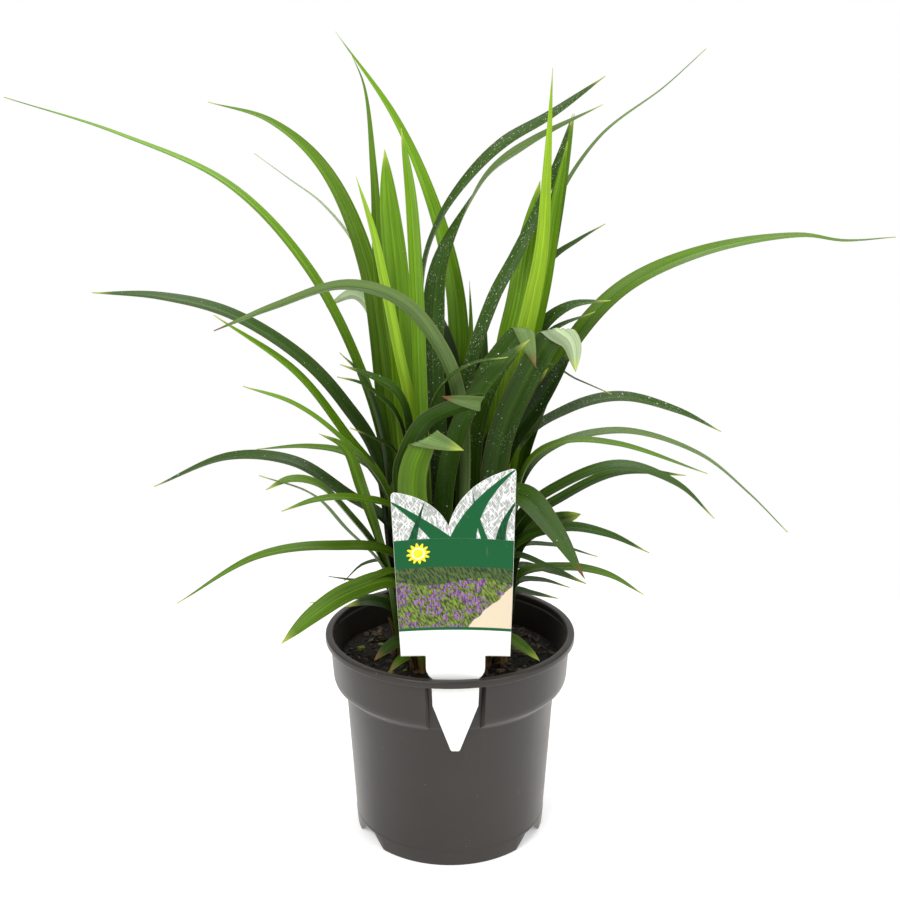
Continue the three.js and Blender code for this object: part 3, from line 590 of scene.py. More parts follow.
def drain_hole_cutter():
    """Six upright cylinders through the raised ring of the floor."""
    cutter = Surface()
    around = np.linspace(0, 2 * math.pi, CUTTER_SIDES, endpoint=False)
    levels = np.array([[CHANNEL_HEIGHT - CUTTER_REACH[0]], [CHANNEL_HEIGHT + CUTTER_REACH[1]]])
    drum = turned(DRAIN_HOLE_RADIUS, around, levels).reshape(-1, 3)
    low, high = np.arange(2 * CUTTER_SIDES).reshape(2, -1)
    faces = [grid_quads(2, CUTTER_SIDES, True), [low[::-1]], [high]]
    for side in (0, 180):
        for angle in DRAIN_HOLE_ANGLES:
            cutter.add(drum + turned(DRAIN_HOLE_RING, math.radians(side + angle), 0), faces)
    return cutter.mesh("drain_hole_cutter")


def applied(mesh, kind, **settings):
    """The mesh with one modifier applied."""
    holder = bpy.data.objects.new("holder", mesh)
    bpy.context.scene.collection.objects.link(holder)
    modifier = holder.modifiers.new(kind.lower(), kind)
    for name, value in settings.items():
        setattr(modifier, name, value)
    evaluated = holder.evaluated_get(bpy.context.evaluated_depsgraph_get())
    made = bpy.data.meshes.new_from_object(evaluated)
    bpy.data.objects.remove(holder)
    return made


def plastic_material(values):
    """Dark moulded plastic: satin, with a faint grain, cloudy sheen, dust specks, scuffs and a
    painted sheen at its edges.
    """
    material, shader, surface = new_material("pot_plastic", Specular_IOR_Level=0.45)
    cloud = shader.group("moulded_grain", Place=shader.object_place())["Cloud"]
    base = shader.shaded(values.plastic, shader.step(cloud, 0.3, 0.7, 0.86, 1.12))
    # Painted sheen: towards the pot's edges as seen, the base colour is mixed to the pale scuff
    # colour, a painted highlight.
    facing = shader.node("ShaderNodeLayerWeight", Blend=0.5).outputs["Facing"]
    base = shader.mix(shader.step(facing, 0.45, 1.0, 0.0, 0.55), base, values.scuff)
    moulded_finish(
        shader, surface, base, values.scuff, 1400.0, 0.55, (0.33, 0.44), 0.00006, 0.6, wear=0.3
    )
    return material


class LILY_OT_pot(bpy.types.Operator):
    """Makes the pot: a turned wall with its label slot and base notches, drain holes and a lip"""

    bl_idname = "lily.make_pot"
    bl_label = "Pot"

    def execute(self, context):
        values = context.scene.lily_pot
        shell = pot_wall(values.wall / MM).mesh("pot_wall")
        cutter = bpy.data.objects.new("drain_hole_cutter", drain_hole_cutter())
        context.scene.collection.objects.link(cutter)
        drained = applied(shell, "BOOLEAN", operation="DIFFERENCE", object=cutter, solver="EXACT")
        bpy.data.objects.remove(cutter)
        corners = np.empty(len(drained.vertices) * 3)
        drained.vertices.foreach_get("co", corners)
        surface = Surface()
        surface.points.append(corners.reshape(-1, 3) / MM)
        surface.faces = [list(face.vertices) for face in drained.polygons]
        surface.materials = [0] * len(surface.faces)
        surface.count = len(drained.vertices)
        points, quads = lip(values.rim_radius / MM, values.height / MM)
        surface.add(points, [quads])
        piece = place("pot_moulding", surface, [plastic_material(values)], 38)
        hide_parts("pot")
        return {"FINISHED"}


# Potting mix

MIX_GAP = 0.4
MIX_SPREAD = 72.4
MIX_FOOT = 2.2
MIX_RINGS = 70
# How far the wall behind the label slot leans out with height, and a radius wider than the pot
PANEL_LEAN = 0.148
OPEN_RADIUS = 200.0
CHIP_SEED = 11


def mix_surface(x, y, level):
    """Height of the fine mix: a gentle swell with crumbs, a sum of sines of unlike lengths."""
    swell = 0.7 * np.sin(x / 9) * np.cos(y / 11)
    first, second = x * 1.31 + 2 * np.sin(y * 0.53), y * 1.17 + 2 * np.sin(x * 0.61)
    crumbs = 0.35 * np.sin(first) * np.cos(second)
    return level + swell + crumbs + 0.2 * np.sin(x * 2.9 + y * 1.3) * np.sin(y * 3.1 - x * 1.9)


def mix_body(level):
    """The mix that fills the pot: rings up its side, then rings in to the middle of its top."""
    top = CHANNEL_HEIGHT + WALL + MIX_GAP
    slope = (BODY_TOP_RADIUS - BASE_RADIUS) / BODY_TOP_HEIGHT
    side = np.array([
        (FLOOR_DISC_RADIUS + 0.4, MIX_FOOT),
        (CHANNEL_RADIUS + 0.8, top),
        (BASE_RADIUS + slope * top - 2.2, top),
        (BODY_TOP_RADIUS - 2.2, BODY_TOP_HEIGHT + 1.2),
        (BODY_TOP_RADIUS - 1.2, BODY_TOP_HEIGHT + 3.4),
        (COLLAR_LOW_RADIUS - 3.2, COLLAR_BOTTOM + 0.6),
        (COLLAR_LOW_RADIUS - 2.2, COLLAR_BOTTOM + 2.4),
        (COLLAR_LOW_RADIUS - 1.9, level - 0.5),
    ])
    angles = np.arange(0, 360, 1.5)
    slot = within(angles, *slot_edges(4.5), 1.2)
    limit = (1 - slot) * OPEN_RADIUS + slot * (PANEL_LOW_RADIUS - 2.6)

    def held(radius, height):
        """The radius, but behind the slot at most that of the wall's inside at the height."""
        rise = np.maximum(height - PANEL_BOTTOM, -30)
        return np.minimum(radius, limit + rise * PANEL_LEAN)

    inward = np.linspace(0.995, 0.02, MIX_RINGS)[:, None] * held(side[-1, 0], level)
    rings = turned(np.vstack([held(side[:, :1], side[:, 1:]), inward]), np.radians(angles), 0.0)
    rings[..., 2] = mix_surface(rings[..., 0], rings[..., 1], level)
    rings[: len(side), :, 2] = side[:, 1:]
    points = np.vstack([rings.reshape(-1, 3), [[0, 0, MIX_FOOT], [0, 0, level]]])
    surface = Surface()
    surface.add(points, capped(*rings.shape[:2]), chip_shade=np.zeros((len(points), 3)))
    return surface


def block_template():
    """Points and quads of a cube with each side in four, on a unit ball pulled out to a block."""
    ticks = np.array([-1.0, 0.0, 1.0])
    lattice = np.array([(a, b, c) for a in ticks for b in ticks for c in ticks])
    keep = np.flatnonzero(np.abs(lattice).max(axis=1) == 1)
    points = lattice[keep]
    number = {tuple(point): index for index, point in enumerate(points)}
    quads = []
    for axis in range(3):
        for side in (-1.0, 1.0):
            others = [a for a in range(3) if a != axis]
            for low in (-1.0, 0.0):
                for right in (-1.0, 0.0):
                    square = []
                    for step_low, step_right in ((0, 0), (1, 0), (1, 1), (0, 1)):
                        corner = [0.0, 0.0, 0.0]
                        corner[axis] = side
                        corner[others[0]] = low + step_low
                        corner[others[1]] = right + step_right
                        square.append(number[tuple(corner)])
                    outward = side if axis != 1 else -side
                    quads.append(square if outward > 0 else square[::-1])
    blocky = points / np.linalg.norm(points, axis=1, keepdims=True) ** 0.55
    return blocky, np.array(quads)


def add_chips(surface, count, level):
    """Bark chips strewn on the mix: blocks with moved corners, turned, tilted and half sunk."""
    draw = np.random.default_rng(CHIP_SEED)
    template, quads = block_template()
    distance = MIX_SPREAD * np.sqrt(draw.random(count))
    bearing = draw.random(count) * 2 * math.pi
    x, y = distance * np.cos(bearing), distance * np.sin(bearing)
    in_slot = (np.abs(x - SLOT_CENTRE) < SLOT_HALF_WIDTH + 6) & (y < 0) & (distance > 62)
    long = draw.lognormal(0.35, 0.5, count).clip(0.6, 5.2)
    wide = long * draw.uniform(0.35, 0.8, count)
    thick = np.minimum(wide, 2.2) * draw.uniform(0.3, 0.7, count)
    room = (MIX_SPREAD + 0.6 - distance) / 1.1
    fits = (~in_slot) & (long < np.maximum(room, 1.2))
    x, y, long, wide, thick = (value[fits] for value in (x, y, long, wide, thick))
    number = len(x)
    blocks = template[None] * np.stack([long, wide, thick], axis=-1)[:, None]
    blocks = blocks * draw.uniform(0.72, 1.18, (number, len(template), 1))
    spin = draw.uniform(0, 2 * math.pi, number)
    pitch, bank = draw.normal(0, 0.28, number), draw.normal(0, 0.3, number)
    for first, second, angle in ((1, 2, bank), (0, 2, pitch), (0, 1, spin)):
        cos, sin = np.cos(angle)[:, None], np.sin(angle)[:, None]
        a, b = blocks[..., first].copy(), blocks[..., second].copy()
        blocks[..., first], blocks[..., second] = a * cos - b * sin, a * sin + b * cos
    height = mix_surface(x, y, level) + thick * draw.uniform(0.1, 0.8, number)
    blocks += np.stack([x, y, height], axis=-1)[:, None]
    shade = np.clip(draw.beta(1.3, 3.6, number) + 0.12 * (long > 3), 0, 1)
    green = (draw.random(number) < 0.03).astype(float)
    tone = np.stack([shade, green, draw.random(number)], axis=-1)
    faces = (quads[None] + np.arange(number)[:, None, None] * len(template)).reshape(-1, 4)
    surface.add(blocks.reshape(-1, 3), [faces], chip_shade=np.repeat(tone, len(template), axis=0))


def mix_material(values):
    """Bark mix: dark crumbly humus, and chips from near black to tan with a woody grain."""
    material, shader, surface = new_material("bark_mix", Specular_IOR_Level=0.3)
    place_ = shader.object_place()
    chip_shade = shader.attribute("chip_shade")["Color"]
    shade, green, chance = shader.node("ShaderNodeSeparateColor", Color=chip_shade).outputs
    crumbs = shader.noise(place_, 900.0, 5.0, 0.65)
    grain = shader.noise(shader.stretched(place_, 1400.0, 420.0, 1400.0), 1.0, 3.0, 0.6)
    bark = shader.mix(shade, values.bark_dark, values.bark_light)
    bark = shader.mix(shader.step(grain, 0.35, 0.7, 0.0, 0.55), bark, values.bark_dark)
    humus = shader.mix(shader.step(crumbs, 0.4, 0.75), values.humus, values.bark_dark)
    brown = shader.mix(shader.step(chance, 0.0, 0.01), humus, bark)
    mossy = shader.mix(shader.math("MULTIPLY", green, 0.8), brown, paint(112, 128, 48))
    shader.fill(
        surface,
        Base_Color=mossy,
        Roughness=shader.step(crumbs, 0.3, 0.7, 0.62, 0.95),
        Normal=shader.bump(shader.math("ADD", crumbs, grain), 0.0005, 0.7),
    )
    return material


class LILY_OT_mix(bpy.types.Operator):
    """Makes the potting mix: a crumbly body with bark chips strewn over it"""

    bl_idname = "lily.make_mix"
    bl_label = "Potting mix"

    def execute(self, context):
        values = context.scene.lily_mix
        surface = mix_body(values.level / MM)
        add_chips(surface, values.chips, values.level / MM)
        piece = place("bark_mix", surface, [mix_material(values)], 40)
        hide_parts("potting_mix")
        return {"FINISHED"}


# Label

LABEL_LEAN = math.radians(8.5)
LABEL_FRONT = 74.6
LABEL_BOW = 5.0
LABEL_BOW_HEIGHT = 60.0
LABEL_HALF_WIDTH = 34.0
LABEL_NOTCH_SHARE = 0.44
LABEL_COLUMNS = 60
LABEL_ROWS = 44
TAIL_ROWS = 48
SHOULDER = 16.0
TAB_HALF_WIDTH = 17.3
SHOULDER_HALF_WIDTH = 31.8
# Half widths of the tab and the tail below the shoulders, at heights above the lip
TAIL_WIDTHS = (
    (16.0, 17.3), (8.0, 17.3), (5.0, 17.0), (2.0, 15.6), (0.0, 13.7), (-1.5, 12.0), (-5.0, 12.0),
    (-6.5, 14.0), (-19.0, 13.6), (-50.9, 2.9), (-52.0, 2.1),
)


def label_top():
    """The V-notched top edge from left to right, with its notch at its share of the columns."""
    left = np.vstack([
        quadratic((-35.5, 120.0), (-35.6, 122.8), (-33.2, 122.5), 5),
        quadratic((-33.2, 122.5), (-11, 117), (-4, 100.5), 16)[1:],
    ])
    right = np.vstack([
        quadratic((-4, 100.5), (2, 126), (30.2, 136.3), 20),
        quadratic((30.2, 136.3), (32.5, 137.2), (32.6, 134.5), 5)[1:],
    ])
    split = round(LABEL_COLUMNS * LABEL_NOTCH_SHARE)
    left, right = evenly(left, split + 1)[0], evenly(right, LABEL_COLUMNS - split)[0]
    return np.vstack([left, right[1:]])


def on_label(across, up):
    """The label's middle surface: it leans forward, and bows forward towards its edges."""
    bow = LABEL_BOW * (across / LABEL_HALF_WIDTH) ** 2 * smooth(up, 0, LABEL_BOW_HEIGHT)
    return np.stack(
        [
            SLOT_CENTRE + across,
            -LABEL_FRONT - bow - up * math.sin(LABEL_LEAN),
            LIP_TOP + up * math.cos(LABEL_LEAN),
        ],
        axis=-1,
    )


def label_sheet():
    """The label as two grids that share the shoulder line: the panel above, the tab below."""
    share = np.linspace(0, 1, LABEL_COLUMNS)
    bottom = np.column_stack([
        (2 * share - 1) * SHOULDER_HALF_WIDTH, np.full(LABEL_COLUMNS, SHOULDER)
    ])
    low, high = (np.argmin(np.abs(bottom[:, 0] - side * TAB_HALF_WIDTH)) for side in (-1, 1))
    bottom[low, 0], bottom[high, 0] = -TAB_HALF_WIDTH, TAB_HALF_WIDTH
    rise = np.linspace(0, 1, LABEL_ROWS)[:, None, None]
    panel = (1 - rise) * bottom + rise * label_top()
    tail = np.array(TAIL_WIDTHS)[::-1]
    heights = np.append(np.linspace(tail[0, 0], SHOULDER, TAIL_ROWS), tail[:, 0])
    heights = np.unique(heights)[::-1][1:, None]
    widths = np.interp(heights, tail[:, 0], tail[:, 1])
    inner = bottom[low:high + 1, 0] / TAB_HALF_WIDTH
    tab = np.stack(np.broadcast_arrays(widths * inner, heights), axis=-1)
    flat = np.vstack([panel.reshape(-1, 2), tab.reshape(-1, 2)])
    tab_numbers = np.vstack([
        np.arange(low, high + 1),
        LABEL_ROWS * LABEL_COLUMNS + np.arange(tab.shape[0] * tab.shape[1]).reshape(tab.shape[:2]),
    ])
    above, below = tab_numbers[:-1], tab_numbers[1:]
    corners = (below[:, :-1], below[:, 1:], above[:, 1:], above[:, :-1])
    tab_quads = np.stack(corners, axis=-1).reshape(-1, 4)
    surface = Surface()
    panel_quads = grid_quads(LABEL_ROWS, LABEL_COLUMNS, False)
    surface.add(on_label(*flat.T), [panel_quads, tab_quads], label_place=flat)
    return surface


def printed_blade(shader, across, up, foot, lean, curl, width, reach):
    """1 on a printed blade: it springs from foot = (across, up), leans and curls with height, and
    narrows to nothing at its reach: |across - foot - lean h - curl h^2| < width (1 - h / reach)."""
    rise = shader.math("SUBTRACT", up, foot[1])
    middle = shader.math("MULTIPLY_ADD", shader.math("MULTIPLY", rise, rise), curl, foot[0])
    middle = shader.math("MULTIPLY_ADD", rise, lean, middle)
    off = shader.math("ABSOLUTE", shader.math("SUBTRACT", across, middle))
    taper = shader.math("SUBTRACT", 1.0, shader.math("DIVIDE", rise, reach))
    inside = shader.math("SUBTRACT", shader.math("MULTIPLY", taper, width), off)
    above = shader.math("GREATER_THAN", rise, 0.0)
    return shader.math("MULTIPLY", shader.step(inside, -0.1, 0.1), above)


# Printed blades in the label's lobes: foot, lean, curl, half width and reach, in millimetres
PRINTED_BLADES = (
    ((-8, 93), -1.0, -0.006, 6.4, 27), ((-24, 93), 0.25, 0.002, 2.4, 24),
    ((4, 93), 0.22, 0.010, 7.4, 47), ((25, 93), 0.05, 0.012, 2.8, 30),
    ((16, 93), -0.35, 0.004, 2.0, 30),
)
# The sun's place on the label, the radii of its disc and ring, and of its rays and their swing
SUN_PLACE = (-21, 84)
SUN_RADII = (2.9, 3.6)
SUN_RAYS = (5.6, 1.1)


def meadow_print(shader, print_place, across, up, fine, drift):
    """The printed meadow: grass with drifts of flowers, a pale path, and hills behind it."""
    leaning = shader.stretched(shader.sheared(print_place, 0.5), 0.8, 0.28, 1.0)
    grain = shader.noise(leaning, 1.0, 4.0, 0.65)
    meadow = shader.mix(shader.step(grain, 0.36, 0.64), paint(36, 52, 16), paint(128, 150, 60))
    spots = shader.step(shader.cells(print_place, 0.5), 0.62, 0.4)
    bloom = shader.math("MULTIPLY", spots, shader.step(drift, 0.42, 0.5))
    purple = shader.mix(shader.step(fine, 0.4, 0.6), paint(84, 48, 104), paint(156, 108, 168))
    meadow = shader.mix(bloom, meadow, purple)
    verge = shader.math("MULTIPLY_ADD", up, -0.9, shader.math("ADD", across, 22.0))
    verge = shader.math("MULTIPLY_ADD", drift, 8.0, verge)
    meadow = shader.mix(shader.step(verge, 0.0, 1.0), meadow, paint(222, 206, 178))
    wave = shader.math("SINE", shader.math("MULTIPLY", across, 0.11))
    hills = shader.math("MULTIPLY_ADD", wave, 2.4, 66.0)
    far = shader.mix(shader.step(grain, 0.4, 0.6), paint(34, 56, 30), paint(84, 104, 52))
    return shader.mix(shader.step(up, shader.math("SUBTRACT", hills, 0.8), hills), meadow, far)


def label_material(values):
    """The printed card: pale grass in the lobes, green blades, a green band and a meadow."""
    material, shader, surface = new_material("label_print", Specular_IOR_Level=0.2)
    print_place = shader.uv_place("label_place")
    across, up, _ = shader.parts(print_place)
    fine = shader.noise(shader.stretched(print_place, 0.9, 0.22, 1.0), 1.0, 4.0, 0.6)
    drift = shader.noise(shader.stretched(print_place, 0.07, 0.11, 1.0), 1.0, 2.0)

    stroke = 0.0
    for slant in (-0.7, 0.1, 0.8):
        leaning = shader.stretched(shader.sheared(print_place, slant), 0.85, 0.13, 1.0)
        stroke = shader.math("MAXIMUM", stroke, shader.noise(leaning, 1.0, 2.0, 0.7))
    printed = shader.mix(shader.step(stroke, 0.53, 0.63), paint(164, 167, 162), values.card)
    shaded = shader.mix(shader.step(fine, 0.35, 0.65), values.ink_green, values.ink_deep)
    for index, blade in enumerate(PRINTED_BLADES):
        mask = printed_blade(shader, across, up, *blade)
        printed = shader.mix(mask, printed, shaded if index % 2 else values.ink_green)

    meadow = meadow_print(shader, print_place, across, up, fine, drift)
    green, card = values.ink_green, values.card
    for edge, below in ((93.0, green), (75.0, meadow), (35.5, green), (33.5, card)):
        printed = shader.mix(shader.step(up, edge - 0.1, edge + 0.1), below, printed)

    off = [shader.math("SUBTRACT", *pair) for pair in zip((across, up), SUN_PLACE)]
    squares = [shader.math("MULTIPLY", part, part) for part in off]
    distance = shader.math("SQRT", shader.math("ADD", *squares))
    turn = shader.math("ARCTAN2", off[1], off[0])
    rays = shader.math("SINE", shader.math("MULTIPLY", turn, 12.0))
    reach = shader.math("MULTIPLY_ADD", rays, SUN_RAYS[1], SUN_RAYS[0])
    disc, ring = (shader.step(distance, edge + 0.15, edge - 0.15) for edge in SUN_RADII)
    printed = shader.mix(shader.math("LESS_THAN", distance, reach), printed, values.ink_yellow)
    printed = shader.mix(disc, shader.mix(ring, printed, card), values.ink_yellow)

    scuff = paint(150, 146, 138)
    moulded_finish(shader, surface, printed, scuff, 1200.0, 0.35, (0.26, 0.38), 0.00002, 0.4)
    return material


def card_material(values):
    """The bare back and edges of the card."""
    material, shader, surface = new_material("label_card", Specular_IOR_Level=0.45)
    scuff = paint(170, 164, 154)
    moulded_finish(shader, surface, values.card, scuff, 1200.0, 0.5, (0.3, 0.42), 0.00003, 0.5)
    return material


class LILY_OT_label(bpy.types.Operator):
    """Makes the plant label: a bowed, printed plastic card threaded behind the pot's lip"""

    bl_idname = "lily.make_label"
    bl_label = "Plant label"

    def execute(self, context):
        values = context.scene.lily_label
        materials = [label_material(values), card_material(values)]
        piece = place("plant_label", label_sheet(), materials, 40)
        solid = piece.modifiers.new("thickness", "SOLIDIFY")
        solid.thickness = values.thickness
        solid.offset = 0
        solid.material_offset = 1
        solid.material_offset_rim = 1
        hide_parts("label")
        return {"FINISHED"}


# Leaves

BLADE_START = 117.0
BLADE_ROOT_REACH = 3.6
BLADE_TIP_SHARE = 0.02
FOLD_RADIUS = 1.1
FOLD_REACH = 22.0
SHEATH_RADIUS = 5.6
SHEATH_FLATNESS = 0.8
SHEATH_SEED = 5
DROP_SEED = 8
CURVE_STEPS = 60
STATION_STEP = 3.6
STATION_LIMITS = (18, 90)
FOLDED_STATIONS = 3
SHEATH_SIDES = 20
SHEATH_HEIGHTS = (98.0, 108.0, 112.0, 116.0, 121.0, 126.0, 130.0)
SHEATH_TOP = 131.0
DROP_SIDES = 7
DROP_LATITUDES = (-30, 10, 50)
DROP_FOOT = -0.4
DROP_TOP = 0.7
# Places across a blade, from its left margin to its right, where its section has points
ACROSS = np.array([-1, -0.93, -0.7, -0.4, -0.12, 0, 0.12, 0.4, 0.7, 0.93, 1])

# The colours that the letters of a leaf row stand for: the faces, then the tips, then the margin
TONES = {
    "F": "fresh", "B": "bright", "M": "mid", "D": "dark", "K": "deep_shade", "G": "grey",
    "P": "pale", "S": "sheath", "y": "tip_yellow", "r": "tip_red", "b": "tip_brown", "m": "margin",
}

